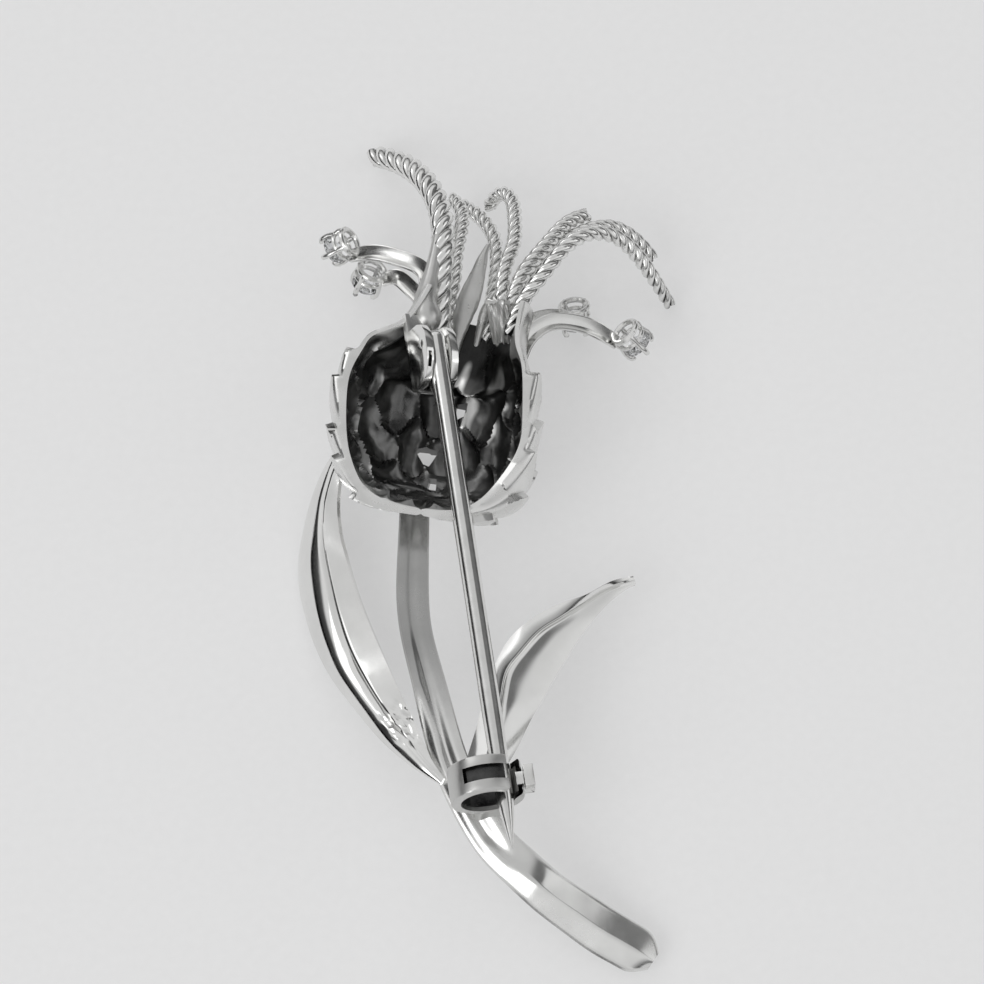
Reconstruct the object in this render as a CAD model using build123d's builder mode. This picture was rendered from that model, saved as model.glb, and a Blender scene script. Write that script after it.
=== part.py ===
from build123d import *
from math import cos, hypot, pi, radians, sin
import os

# Thistle brooch, lying face down: +Z is its back, +Y its bristles, the floor is Z 0.
os.makedirs("parts", exist_ok=True)

# Driving dimensions, in mm and degrees
# Calyx: the hollow head, turned about an axis that leans to the right
calyx_radius = 6.3
calyx_length = 16.5
calyx_bottom_share = 0.394
calyx_flat = 0.967
calyx_wall = 0.5
calyx_lean = 11.0
calyx_x = -3.51
calyx_y = 5.67
rim_above_axis = 2.0
tuck_share = 0.5
tuck_reach = 9.0
scale_proud = 0.55
scale_first = 4.5
scale_pitch = 2.75
scale_notch = 1.5
scale_rows = 5
scales_round = 13

# Pin, its hinge and the safety catch
pin_length = 35.6
pin_diameter = 1.24
pin_hinge_diameter = 1.3
pin_tip_diameter = 1.14
pin_point_diameter = 0.12
pin_even_from = 13.5
pin_even_to = 27.0
pin_turn_in = 8.1
pin_height = 9.45
pin_x = calyx_x
pin_y = calyx_y + 5.4
pin_tail = 1.0
pin_point = 3.4
hinge_tilt = 30.0
rivet_diameter = 0.6
rivet_clearance = 0.04
rivet_to_strip = 0.3
ear_gap = 1.4
ear_plate = 0.5
ear_length = 4.2
ear_behind = 1.5
ear_rise = 0.75
base_strip = 0.5
strip_to_neck = 1.4
catch_diameter = 4.8
catch_length = 2.4
catch_wall = 0.3
catch_lip = 0.3
catch_along = 30.95
pin_off_centre = 1.08
roller_clearance = 0.06
roller_wall = 0.28
mouth_clearance = 0.05
slot_width = 1.0
slot_start = -14.0
slot_end = 127.0
lever_angle = -1.0
lever_neck = 0.7
lever_reach = 0.65
lever_height = 1.6
lever_length = 1.45
lever_corner = 0.15
lever_root = 0.3
saddle_width = 1.7
saddle_height = 2.2
saddle_inset = 0.3
saddle_into_barrel = 0.2

# Stem: a channel that runs from the calyx down to a rounded end on the floor
stem_length = 29.4
stem_side = 10.0
stem_height = 6.2
stem_width = 3.2
stem_wall = 0.5
stem_depth_share = 0.5
stem_stations = 34
ridge_from = 0.93
ridge_full = 1.03
ridge_share = 0.4

# Leaves: folded sheet
leaf_length = 23.0
leaf_side = 10.0
leaf_height = 6.0
leaf_wall = 0.4
leaf_bulge = 0.12
leaf_stations = 30

# Stamens: straps, collets and stones
strap_width = 1.25
strap_depth = 0.62
strap_wall = 0.26
strap_stations = 16
stone_diameter = 1.9
stone_table = 0.58
stone_crown = 0.3
stone_pavilion = 0.78
stone_clearance = 0.03
stone_culet = 0.04
stone_facets = 8
girdle = 0.1
collet_open = 0.6
collet_radius = 1.0
collet_wall = 0.26
collet_band = 0.8
collet_drop = 0.15
claw_length = 2.15
claw_start = 0.1
claw_over_stone = 0.3
claw_diameter = 0.46

# Bristles: twisted wires that spread out of the neck
spray_side = 12.5
spray_up = 14.0
spray_height = 7.5
bristle_diameter = 1.0
bristle_pitch = 1.5
bristle_waist = 0.8
bristle_end = 0.72
bristle_corners = 8
bristle_steps = 8


def spread(rows, count):
    # Rows spaced along a smooth line through the given rows
    result = []
    for i in range(count):
        at = i / (count - 1) * (len(rows) - 1)
        k = min(int(at), len(rows) - 2)
        t = at - k
        near = (rows[max(k - 1, 0)], rows[k], rows[k + 1], rows[min(k + 2, len(rows) - 1)])
        result.append(tuple(
            q + 0.5 * ((r - p) * t + (2 * p - 5 * q + 4 * r - s) * t**2 + (3 * q - p - 3 * r + s) * t**3)
            for p, q, r, s in zip(*near)
        ))
    return result


def swept_rings(points, sections):
    # A section carried along points, with its first axis level and its second to the back
    rings = []
    for i, section in enumerate(sections):
        ahead = Vector(*points[min(i + 1, len(points) - 1)]) - Vector(*points[max(i - 1, 0)])
        side = ahead.cross(Vector(0, 0, 1)).normalized()
        up = side.cross(ahead).normalized()
        ring = [Vector(*points[i]) + side * a + up * b for a, b in section]
        rings.append([(p.X, p.Y, p.Z) for p in ring])
    return rings


def solid_of_rings(rings):
    # Closed solid of flat triangles through rings of points, with a ladder across both ends
    count = len(rings[0])
    triangles = []
    for low, high in zip(rings, rings[1:]):
        for i in range(count):
            j = (i + 1) % count
            triangles.append((low[i], low[j], high[j]))
            triangles.append((low[i], high[j], high[i]))
    first, last = rings[0], rings[-1]
    for i in range(count // 2 - 1):
        a, b, c, d = i, i + 1, count - 2 - i, count - 1 - i
        triangles.append((first[a], first[c], first[b]))
        triangles.append((first[a], first[d], first[c]))
        triangles.append((last[a], last[b], last[c]))
        triangles.append((last[a], last[c], last[d]))
    # The triangles run the same way round, and the sign of their volume says which way
    volume = sum(Vector(*a).dot(Vector(*b).cross(Vector(*c))) for a, b, c in triangles)
    if volume < 0:
        triangles = [(a, c, b) for a, b, c in triangles]
    faces = [Face(Wire.make_polygon([Vector(*p) for p in t], close=True)) for t in triangles]
    return Solid(Shell(faces))


def largest(part):
    return part.solids().sort_by(SortBy.VOLUME)[-1]


# Calyx geometry: the axis runs from the stem end to the neck
axis_z = calyx_radius + scale_proud * 0.85
rim_z = axis_z + rim_above_axis
calyx_centre = Vector(calyx_x, calyx_y, axis_z)
calyx_side = Vector(cos(radians(calyx_lean)), -sin(radians(calyx_lean)), 0)
calyx_axis = Vector(sin(radians(calyx_lean)), cos(radians(calyx_lean)), 0)

# Rows: share of the calyx length from its bottom, radius and sideways bow as shares of its radius
calyx_profile = [
    (0.000, 0.06, 0.04),
    (0.003, 0.28, 0.04),
    (0.012, 0.46, 0.04),
    (0.030, 0.60, 0.04),
    (0.073, 0.76, 0.04),
    (0.139, 0.88, 0.04),
    (0.224, 0.965, 0.02),
    (0.339, 1.02, -0.01),
    (0.455, 1.035, -0.05),
    (0.570, 1.015, -0.08),
    (0.682, 0.95, -0.07),
    (0.740, 0.895, -0.058),
    (0.785, 0.79, -0.005),
    (0.830, 0.705, 0.045),
    (0.890, 0.66, 0.075),
    (0.945, 0.635, 0.10),
    (1.000, 0.62, 0.12),
]
profile_points = [
    (calyx_length * (s - calyx_bottom_share), calyx_radius * r, calyx_radius * b)
    for s, r, b in calyx_profile
]
profile_steps = [hypot(b[0] - a[0], b[1] - a[1]) for a, b in zip(profile_points, profile_points[1:])]
profile_length = sum(profile_steps)


def calyx_point(distance, angle, proud):
    # Point at a distance along the profile from the bottom, raised off the plain wall
    left = min(max(distance, 0.0), profile_length - 1e-6)
    i = 0
    while left > profile_steps[i]:
        left -= profile_steps[i]
        i += 1
    (s0, r0, b0), (s1, r1, b1) = profile_points[i], profile_points[i + 1]
    share = left / profile_steps[i]
    along = (s1 - s0) / profile_steps[i]
    outward = (r1 - r0) / profile_steps[i]
    station = s0 + (s1 - s0) * share - outward * proud
    radius = max(r0 + (r1 - r0) * share + along * proud, 0.12)
    across = calyx_side * (radius * cos(radians(angle)) + b0 + (b1 - b0) * share)
    height = radius * calyx_flat * sin(radians(angle))
    # Below the rim the stem end is tucked in
    tuck = tuck_share * max(rim_above_axis - height, 0.0) * max(1 - distance / tuck_reach, 0.0)
    p = calyx_centre + calyx_axis * (station + tuck) + across + Vector(0, 0, height)
    return (p.X, p.Y, p.Z)


def calyx_ring(distances, prouds):
    # One ring of the calyx, with a point for each half scale
    columns = 2 * scales_round
    return [
        calyx_point(distances[i % 2], 360 * i / columns - 90, prouds[i % 2]) for i in range(columns)
    ]


# Shares of the profile at which the plain wall has a ring
wall_shares = (0.02, 0.07, 0.13, 0.2, 0.3, 0.4, 0.5, 0.6, 0.7, 0.8, 0.9, 1.0)


def even_ring(distance, proud):
    return calyx_ring((distance, distance), (proud, proud))


def inside_rings(depth):
    return [even_ring(profile_length * share, -depth) for share in reversed(wall_shares)]


def calyx_rings():
    # Outside rings up to the neck, with each row of scales ending in a zigzag step, then inside
    rings = [even_ring(0, 0)]
    before = (scale_first * 0.5, scale_first * 0.5)
    for row in range(scale_rows):
        tip = scale_first + row * scale_pitch
        ends = (tip, tip - scale_notch) if row % 2 == 0 else (tip - scale_notch, tip)
        proud = scale_proud * (1 + 0.5 * (row == scale_rows - 1))
        tops = (proud, proud * 0.72) if row % 2 == 0 else (proud * 0.72, proud)
        middle = tuple(0.45 * b + 0.55 * e for b, e in zip(before, ends))
        rings.append(calyx_ring(before, (0.0, 0.0)))
        rings.append(calyx_ring(middle, tuple(0.62 * t for t in tops)))
        rings.append(calyx_ring(ends, tops))
        before = ends
    rings.append(calyx_ring(before, (0.0, 0.0)))
    last = max(before)
    for share in (0.3, 0.65, 1.0):
        rings.append(even_ring(last + (profile_length - last) * share, 0.0))
    return rings + inside_rings(calyx_wall)


# Pin geometry: it runs from the rivet to the catch, parallel to the floor
pin_origin = Vector(pin_x, pin_y, pin_height)
pin_direction = Vector(sin(radians(pin_turn_in)), -cos(radians(pin_turn_in)), 0)
pin_right = Vector(cos(radians(pin_turn_in)), sin(radians(pin_turn_in)), 0)
tilt_cos = cos(radians(hinge_tilt))
tilt_sin = sin(radians(hinge_tilt))
hinge_axis = pin_right * tilt_cos - Vector(0, 0, tilt_sin)
# Hinge plane: local X along the pin, local Z along the rivet to the right, local Y to the floor
hinge_plane = Plane(origin=pin_origin, x_dir=pin_direction, z_dir=hinge_axis)
pin_plane = Plane(origin=pin_origin, x_dir=pin_right, z_dir=pin_direction)

# Calyx with its scales, pierced gaps, base strip and hinge ears
with BuildPart() as calyx:
    add(solid_of_rings(calyx_rings()))
    # The back is open: everything above the rim goes
    with Locations((calyx_x, calyx_y, rim_z + calyx_length / 2)):
        Box(calyx_length * 2, calyx_length * 3, calyx_length, mode=Mode.SUBTRACT)
    # Rows: share of the calyx length from its centre, side and size as shares of its radius
    for along, side, size in [(0.26, 0.12, 0.09), (0.06, -0.15, 0.11), (-0.07, -0.02, 0.06)]:
        gap = calyx_centre + calyx_axis * (along * calyx_length) + calyx_side * (side * calyx_radius)
        with BuildSketch(Plane(origin=(gap.X, gap.Y, -1))):
            RegularPolygon(radius=size * calyx_radius, side_count=3)
        extrude(amount=calyx_radius * 0.6, mode=Mode.SUBTRACT)
    # Ears stand on a strip that reaches from the left wall of the neck under the pin
    strip_top = pin_tail + rivet_to_strip
    for side in (-1, 1):
        start = side * ear_gap / 2 - (ear_plate if side < 0 else 0)
        with BuildSketch(hinge_plane.offset(start)):
            with BuildLine():
                Polyline(
                    (-ear_behind, strip_top),
                    (-ear_behind, 0),
                    (-ear_behind + ear_rise, -ear_rise),
                    (ear_rise, -ear_rise),
                    (ear_length - ear_behind, strip_top - ear_rise),
                    (ear_length - ear_behind, strip_top),
                    close=True,
                )
            make_face()
        extrude(amount=ear_plate)
    strip_length = ear_length + strip_to_neck
    with BuildSketch(hinge_plane.offset(-ear_gap / 2 - ear_plate)):
        with Locations((ear_length - ear_behind - strip_length / 2, strip_top + base_strip / 2)):
            Rectangle(strip_length, base_strip)
    extrude(amount=ear_gap + 2 * ear_plate)
    with BuildSketch(hinge_plane.offset(-ear_gap)):
        Circle(rivet_diameter / 2)
    extrude(amount=ear_gap * 2, mode=Mode.SUBTRACT)
calyx.part.label = "calyx"
export_step(calyx.part, "parts/calyx.step")

# Rivet: pressed in both ears, with a low head outside each
with BuildPart() as hinge_rivet:
    with BuildSketch(hinge_plane.offset(-ear_gap / 2 - ear_plate)):
        Circle(rivet_diameter / 2)
    extrude(amount=ear_gap + 2 * ear_plate)
hinge_rivet.part.label = "hinge_rivet"
export_step(hinge_rivet.part, "parts/hinge_rivet.step")

# Pin: a straight wire, even where cloth hangs on it, that thins a little and ends in a point
pin_rows = [
    (-pin_tail, pin_hinge_diameter),
    (pin_even_from, pin_diameter),
    (pin_even_to, pin_diameter),
    (pin_length - pin_point, pin_tip_diameter),
    (pin_length, pin_point_diameter),
]
with BuildPart() as pin_stem:
    for (start, wide), (end, narrow) in zip(pin_rows, pin_rows[1:]):
        with BuildSketch(pin_plane.offset(start)):
            Circle(wide / 2)
        if wide == narrow:
            extrude(amount=end - start)
        else:
            with BuildSketch(pin_plane.offset(end)):
                Circle(narrow / 2)
            loft()
    with BuildSketch(hinge_plane.offset(-ear_gap)):
        Circle(rivet_diameter / 2 + rivet_clearance)
    extrude(amount=ear_gap * 2, mode=Mode.SUBTRACT)
pin_stem.part.label = "pin_stem"
export_step(pin_stem.part, "parts/pin_stem.step")

# Catch: its axis is parallel to the pin, which lies to the right of it
catch_centre = pin_origin + pin_direction * catch_along - pin_right * pin_off_centre
catch_start = catch_centre - pin_direction * catch_length / 2
catch_plane = Plane(origin=catch_start, x_dir=pin_right * -1, z_dir=pin_direction)
catch_radius = catch_diameter / 2
roller_radius = catch_radius - catch_wall - roller_clearance
bore_radius = roller_radius - roller_wall


def turned(plane, degrees_up):
    # Local X of the catch turned from the right towards the back
    right = pin_right * cos(radians(degrees_up)) + Vector(0, 0, sin(radians(degrees_up)))
    return Plane(origin=plane.origin, x_dir=right, z_dir=pin_direction)


# The mouth points the way that the pin swings out
mouth_turn = 90 - hinge_tilt
mouth_width = pin_diameter + 2 * mouth_clearance
mouth_start = catch_centre + pin_right * pin_off_centre - pin_direction * catch_length
mouth_plane = turned(Plane(origin=mouth_start, x_dir=pin_right, z_dir=pin_direction), mouth_turn)

with BuildPart() as catch_housing:
    with BuildSketch(catch_plane):
        Circle(catch_radius)
        Circle(bore_radius, mode=Mode.SUBTRACT)
    extrude(amount=catch_length)
    outer_edges = catch_housing.edges().filter_by(GeomType.CIRCLE).group_by(SortBy.RADIUS)[-1]
    fillet(outer_edges, catch_wall * 0.8)
    # The roller turns in a wider bore between the two lips
    with BuildSketch(catch_plane.offset(catch_lip)):
        Circle(catch_radius - catch_wall)
    extrude(amount=catch_length - 2 * catch_lip, mode=Mode.SUBTRACT)
    with BuildSketch(mouth_plane):
        with Locations((catch_diameter / 2, 0)):
            Rectangle(catch_diameter, mouth_width)
    extrude(amount=catch_length * 2, mode=Mode.SUBTRACT)
    # Slot for the lever, from below the mouth over the top to the far side
    slot_middle = (slot_start + slot_end) / 2
    slot_half = (slot_end - slot_start) / 2
    slot_plane = turned(catch_plane.offset((catch_length - slot_width) / 2), slot_middle)
    with BuildSketch(slot_plane):
        with BuildLine():
            reach = catch_diameter
            start = (reach * cos(radians(slot_half)), -reach * sin(radians(slot_half)))
            end = (start[0], -start[1])
            Line((0, 0), start)
            ThreePointArc(start, (reach, 0), end)
            Line(end, (0, 0))
        make_face()
        Circle(bore_radius, mode=Mode.SUBTRACT)
    extrude(amount=slot_width, mode=Mode.SUBTRACT)
    # Saddle that is soldered down into the stem
    with BuildSketch(catch_plane.offset(saddle_inset)):
        with Locations((0, catch_radius + saddle_height / 2 - saddle_into_barrel)):
            Rectangle(saddle_width, saddle_height)
    extrude(amount=catch_length - 2 * saddle_inset)

# Roller: inner tube with the same mouth when open, and the lever that turns it
with BuildPart() as catch_roller:
    with BuildSketch(catch_plane.offset(catch_lip + roller_clearance)):
        Circle(roller_radius)
        Circle(bore_radius, mode=Mode.SUBTRACT)
    extrude(amount=catch_length - 2 * (catch_lip + roller_clearance))
    with BuildSketch(mouth_plane):
        with Locations((catch_diameter / 2, 0)):
            Rectangle(catch_diameter, mouth_width)
    extrude(amount=catch_length * 2, mode=Mode.SUBTRACT)
    neck_length = slot_width - 2 * roller_clearance
    neck_plane = turned(catch_plane.offset((catch_length - neck_length) / 2), lever_angle)
    with BuildSketch(neck_plane):
        with Locations(((roller_radius + catch_radius) / 2, 0)):
            Rectangle(catch_radius - roller_radius + lever_root, lever_neck)
    extrude(amount=neck_length)
    knob_plane = turned(catch_plane.offset((catch_length - lever_length) / 2), lever_angle)
    with BuildSketch(knob_plane):
        with Locations((catch_radius + roller_clearance + lever_reach / 2, 0)):
            RectangleRounded(lever_reach, lever_height, lever_corner)
    extrude(amount=lever_length)
catch_roller.part.label = "catch_roller"
export_step(catch_roller.part, "parts/catch_roller.step")


def channel_section(width, depth, wall, hollow=1.0):
    # Points of a channel: a valley from lip to lip, or a ridge if hollow is negative, then a round back
    half = width / 2
    inner = half - wall
    middle = (wall - depth) * hollow
    top = [(-half, 0), (-inner, 0), (-inner / 2, middle * 0.62), (0, middle)]
    top += [(inner / 2, middle * 0.62), (inner, 0), (half, 0)]
    back = [(half * cos(pi * k / 8), -depth * sin(pi * k / 8)) for k in range(1, 8)]
    return top + back


# Stem, rows: side, distance down and height as shares, then width share
stem_rows = [
    (-0.140, 0.130, 0.945, 0.60),
    (-0.143, 0.180, 0.975, 0.62),
    (-0.150, 0.280, 1.000, 0.65),
    (-0.152, 0.365, 1.000, 0.67),
    (-0.131, 0.454, 1.000, 0.66),
    (-0.064, 0.554, 1.000, 0.68),
    (0.012, 0.658, 1.000, 0.71),
    (0.118, 0.781, 0.984, 0.73),
    (0.254, 0.875, 0.935, 0.77),
    (0.402, 0.948, 0.855, 0.81),
    (0.557, 0.996, 0.742, 0.86),
    (0.725, 1.042, 0.613, 0.90),
    (0.913, 1.080, 0.468, 0.95),
    (1.095, 1.116, 0.347, 0.99),
    (1.250, 1.143, 0.275, 0.98),
    (1.350, 1.162, 0.235, 0.88),
    (1.418, 1.177, 0.215, 0.60),
]
stem_spread = spread(stem_rows, stem_stations)
stem_points = [
    (calyx_x + a * stem_side, calyx_y - b * stem_length, c * stem_height) for a, b, c, w in stem_spread
]
# The valley ends below the catch, where it turns into a low ridge
stem_sections = []
for a, b, c, w in stem_spread:
    share = min(max((b - ridge_from) / (ridge_full - ridge_from), 0.0), 1.0)
    hollow = 1.0 - (1.0 + ridge_share) * share
    depth = w * stem_width * stem_depth_share
    stem_sections.append(channel_section(w * stem_width, depth, stem_wall, hollow))
with BuildPart() as stem:
    add(solid_of_rings(swept_rings(stem_points, stem_sections)))
    add(calyx.part, mode=Mode.SUBTRACT)
    add(largest(stem.part), mode=Mode.REPLACE)
stem.part.label = "stem"
export_step(stem.part, "parts/stem.step")


# The saddle of the catch is fitted to the channel that it is soldered in
with BuildPart() as catch_housing_fitted:
    add(catch_housing.part)
    add(stem.part, mode=Mode.SUBTRACT)
    add(largest(catch_housing_fitted.part), mode=Mode.REPLACE)
catch_housing_fitted.part.label = "catch_housing"
export_step(catch_housing_fitted.part, "parts/catch_housing.step")


def leaf_rings(outer, fold, inner):
    # Rings of a folded sheet through its outer edge, its fold and its inner edge
    lines = []
    for rows in (outer, fold, inner):
        spots = spread(rows, leaf_stations)
        lines.append([
            Vector(calyx_x + a * leaf_side, calyx_y + b * leaf_length, c * leaf_height)
            for a, b, c in spots
        ])
    rings = []
    for i, (a, f, b) in enumerate(zip(*lines)):
        ahead = lines[1][min(i + 1, leaf_stations - 1)] - lines[1][max(i - 1, 0)]
        up = ahead.cross(b - a).normalized()
        if up.Z < 0:
            up = up * -1
        top = [a]
        for low, high in ((a, f), (f, b)):
            top.append((low + high) * 0.5 + up * (leaf_bulge * (high - low).length))
            top.append(high)
        ring = top + [p - up * leaf_wall for p in reversed(top)]
        rings.append([(p.X, p.Y, p.Z) for p in ring])
    return rings


# Leaf lines, rows from one end to the other: side, along and height as shares
left_outer = [
    (-0.645, 0.026, 0.817), (-0.706, -0.012, 0.700), (-0.769, -0.046, 0.500), (-0.844, -0.114, 0.283),
    (-0.898, -0.191, 0.150), (-0.930, -0.274, 0.100), (-0.920, -0.362, 0.100), (-0.876, -0.455, 0.150),
    (-0.804, -0.561, 0.250), (-0.692, -0.674, 0.417), (-0.528, -0.788, 0.583), (-0.347, -0.899, 0.733),
    (-0.150, -0.986, 0.850), (0.033, -1.046, 0.917),
]
left_fold = [
    (-0.629, -0.018, 0.867), (-0.676, -0.049, 0.833), (-0.716, -0.089, 0.767), (-0.756, -0.156, 0.667),
    (-0.768, -0.232, 0.583), (-0.747, -0.306, 0.517), (-0.705, -0.398, 0.500), (-0.649, -0.504, 0.533),
    (-0.572, -0.606, 0.600), (-0.456, -0.714, 0.700), (-0.329, -0.812, 0.800), (-0.209, -0.893, 0.883),
    (-0.091, -0.964, 0.933), (0.046, -1.037, 0.950),
]
left_inner = [
    (-0.608, -0.051, 0.883), (-0.635, -0.075, 0.867), (-0.654, -0.115, 0.833), (-0.660, -0.185, 0.783),
    (-0.638, -0.264, 0.733), (-0.584, -0.346, 0.683), (-0.509, -0.448, 0.683), (-0.434, -0.538, 0.717),
    (-0.346, -0.635, 0.767), (-0.251, -0.733, 0.833), (-0.158, -0.826, 0.883), (-0.092, -0.897, 0.933),
    (-0.026, -0.968, 0.950), (0.059, -1.029, 0.958),
]
right_outer = [
    (0.163, -1.053, 0.900), (0.208, -0.962, 0.883), (0.253, -0.892, 0.875), (0.298, -0.814, 0.850),
    (0.344, -0.738, 0.817), (0.396, -0.663, 0.800), (0.488, -0.586, 0.767), (0.634, -0.520, 0.717),
    (0.806, -0.471, 0.667), (0.985, -0.438, 0.617), (1.166, -0.389, 0.567), (1.307, -0.366, 0.492),
]
right_fold = [
    (0.254, -1.068, 0.890), (0.338, -0.973, 0.800), (0.376, -0.907, 0.785), (0.416, -0.834, 0.755),
    (0.442, -0.766, 0.720), (0.481, -0.679, 0.700), (0.580, -0.612, 0.665), (0.699, -0.548, 0.620),
    (0.845, -0.501, 0.580), (0.984, -0.457, 0.545), (1.132, -0.412, 0.515), (1.320, -0.376, 0.480),
]
right_inner = [
    (0.344, -1.078, 0.883), (0.474, -0.975, 0.833), (0.546, -0.914, 0.792), (0.618, -0.837, 0.717),
    (0.691, -0.773, 0.650), (0.771, -0.703, 0.617), (0.864, -0.629, 0.583), (0.951, -0.563, 0.542),
    (1.038, -0.507, 0.508), (1.125, -0.460, 0.500), (1.219, -0.423, 0.500), (1.326, -0.390, 0.483),
]
with BuildPart() as leaf_left:
    add(solid_of_rings(leaf_rings(left_outer, left_fold, left_inner)))
    add(calyx.part, mode=Mode.SUBTRACT)
    add(stem.part, mode=Mode.SUBTRACT)
    add(largest(leaf_left.part), mode=Mode.REPLACE)
leaf_left.part.label = "leaf_left"
export_step(leaf_left.part, "parts/leaf_left.step")

with BuildPart() as leaf_right:
    add(solid_of_rings(leaf_rings(right_outer, right_fold, right_inner)))
    add(stem.part, mode=Mode.SUBTRACT)
    add(catch_housing_fitted.part, mode=Mode.SUBTRACT)
    add(largest(leaf_right.part), mode=Mode.REPLACE)
leaf_right.part.label = "leaf_right"
export_step(leaf_right.part, "parts/leaf_right.step")

# The plain wall of the neck, a little thicker, to trim what is soldered to it
solder_gap = 0.03
neck_inside = 0.2
neck_mouth = calyx_centre + calyx_axis * (calyx_length * (1 - calyx_bottom_share) - neck_inside)
with BuildPart() as solder_space:
    outside_rings = [even_ring(profile_length * share, solder_gap) for share in wall_shares]
    add(solid_of_rings(outside_rings + inside_rings(calyx_wall + 2 * solder_gap)))
    with Locations((calyx_x, calyx_y, rim_z + solder_gap + calyx_length / 2)):
        Box(calyx_length * 2, calyx_length * 3, calyx_length, mode=Mode.SUBTRACT)


def spray_point(row, side, up, height):
    return (neck_mouth.X + row[0] * side, neck_mouth.Y + row[1] * up, row[2] * height)


def twisted_wire(points, diameter, pitch):
    # Two strands wound together: a waisted section that turns as it goes along
    line = Edge.make_spline([Vector(*p) for p in points])
    steps = int(round(line.length / pitch * bristle_steps))
    rings = []
    for i in range(steps + 1):
        at = line.position_at(i / steps)
        tangent = line.tangent_at(i / steps)
        side = tangent.cross(Vector(0, 0, 1)).normalized()
        up = side.cross(tangent)
        end = bristle_end if i in (0, steps) else 1.0
        ring = []
        for k in range(bristle_corners):
            turn = 2 * pi * k / bristle_corners
            radius = diameter / 2 * end * (bristle_waist + (1 - bristle_waist) * cos(turn) ** 2)
            turn += 2 * pi * i / bristle_steps
            p = at + side * (radius * cos(turn)) + up * (radius * sin(turn))
            ring.append((p.X, p.Y, p.Z))
        rings.append(ring)
    return solid_of_rings(rings)


# Rows, from the root to the tip: side, up and height as shares of the spray
bristles = {
    "bristle_far_left": (1.62, [
        (-0.135, -0.16, 0.70), (-0.135, 0.00, 0.82), (-0.125, 0.16, 0.96), (-0.115, 0.31, 1.00),
        (-0.135, 0.50, 0.93), (-0.205, 0.69, 0.74), (-0.350, 0.89, 0.42), (-0.500, 1.01, 0.13),
    ]),
    "bristle_mid_left": (1.02, [
        (-0.08, -0.09, 0.46), (-0.09, 0.07, 0.60), (-0.06, 0.19, 0.67), (-0.05, 0.31, 0.67),
        (-0.03, 0.44, 0.61), (-0.02, 0.60, 0.51), (-0.07, 0.72, 0.33),
    ]),
    "bristle_low_mid": (1.02, [
        (0.12, -0.08, 0.45), (0.15, 0.16, 0.48), (0.17, 0.30, 0.45), (0.17, 0.41, 0.43),
        (0.14, 0.54, 0.35), (0.06, 0.66, 0.24), (-0.01, 0.74, 0.12),
    ]),
    "bristle_hook": (1.02, [
        (0.17, -0.11, 0.69), (0.20, 0.10, 0.80), (0.22, 0.24, 0.80), (0.26, 0.35, 0.77),
        (0.27, 0.51, 0.69), (0.26, 0.63, 0.59), (0.22, 0.71, 0.48), (0.17, 0.73, 0.35),
        (0.13, 0.71, 0.20),
    ]),
    "bristle_mid_right": (1.05, [
        (0.23, -0.10, 0.86), (0.26, 0.04, 0.88), (0.30, 0.15, 0.88), (0.38, 0.27, 0.84),
        (0.47, 0.39, 0.77), (0.57, 0.51, 0.67), (0.66, 0.57, 0.56),
    ]),
    "bristle_far_right": (1.05, [
        (0.24, -0.15, 0.90), (0.28, -0.05, 0.96), (0.33, 0.03, 1.00), (0.42, 0.13, 1.05),
        (0.52, 0.25, 1.06), (0.68, 0.37, 0.96), (0.82, 0.39, 0.80), (0.94, 0.34, 0.59),
        (1.05, 0.26, 0.31), (1.12, 0.21, 0.09),
    ]),
    "bristle_behind": (0.95, [
        (0.26, -0.12, 0.65), (0.30, 0.04, 0.74), (0.34, 0.14, 0.75), (0.42, 0.27, 0.72),
        (0.54, 0.40, 0.67), (0.69, 0.50, 0.56), (0.82, 0.54, 0.43), (0.95, 0.50, 0.29),
        (1.03, 0.44, 0.16),
    ]),
}
made = {}
for name, (thick, rows) in bristles.items():
    with BuildPart() as bristle:
        points = [spray_point(r, spray_side, spray_up, spray_height) for r in rows]
        add(twisted_wire(points, bristle_diameter * thick, bristle_pitch))
        add(calyx.part if name == "bristle_far_right" else solder_space.part, mode=Mode.SUBTRACT)
        # Neighbours that touch meet face to face
        for other in made.values():
            add(other, mode=Mode.SUBTRACT)
        add(largest(bristle.part), mode=Mode.REPLACE)
    made[name] = bristle.part
    bristle.part.label = name
    export_step(bristle.part, "parts/" + name + ".step")


# Stamens, rows from the root to the collet: side, up and height as shares
stamen_side = 8.5
stamen_up = 6.0
stamen_height = 7.0
stamens = {
    "left_front": ((-0.91, 0.92, 0.75), (-0.80, -0.15, -0.58), [
        (-0.31, -0.24, 0.98), (-0.29, 0.02, 1.05), (-0.29, 0.24, 1.08), (-0.34, 0.44, 1.02),
        (-0.51, 0.60, 0.95), (-0.72, 0.72, 0.87),
    ]),
    "left_back": ((-0.74, 0.75, 0.43), (-0.35, -0.35, -0.87), [
        (-0.24, -0.16, 0.72), (-0.29, 0.05, 0.69), (-0.35, 0.28, 0.62), (-0.45, 0.49, 0.53),
        (-0.56, 0.64, 0.47),
    ]),
    "right_front": ((1.26, -0.17, 0.70), (0.65, -0.35, -0.67), [
        (0.42, -0.58, 0.84), (0.48, -0.40, 0.90), (0.57, -0.26, 0.92), (0.69, -0.16, 0.90),
        (0.84, -0.14, 0.86), (1.00, -0.17, 0.80),
    ]),
    "right_back": ((0.87, 0.33, 0.37), (0.10, -0.55, -0.83), [
        (0.29, -0.28, 0.59), (0.40, -0.16, 0.59), (0.52, 0.02, 0.55), (0.66, 0.14, 0.46),
    ]),
}


def setting_plane(name):
    base, axis, rows = stamens[name]
    origin = spray_point(base, stamen_side, stamen_up, stamen_height)
    level = Vector(*axis).cross(Vector(0, 1, 0)).normalized()
    return Plane(origin=origin, x_dir=level, z_dir=axis)


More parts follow.
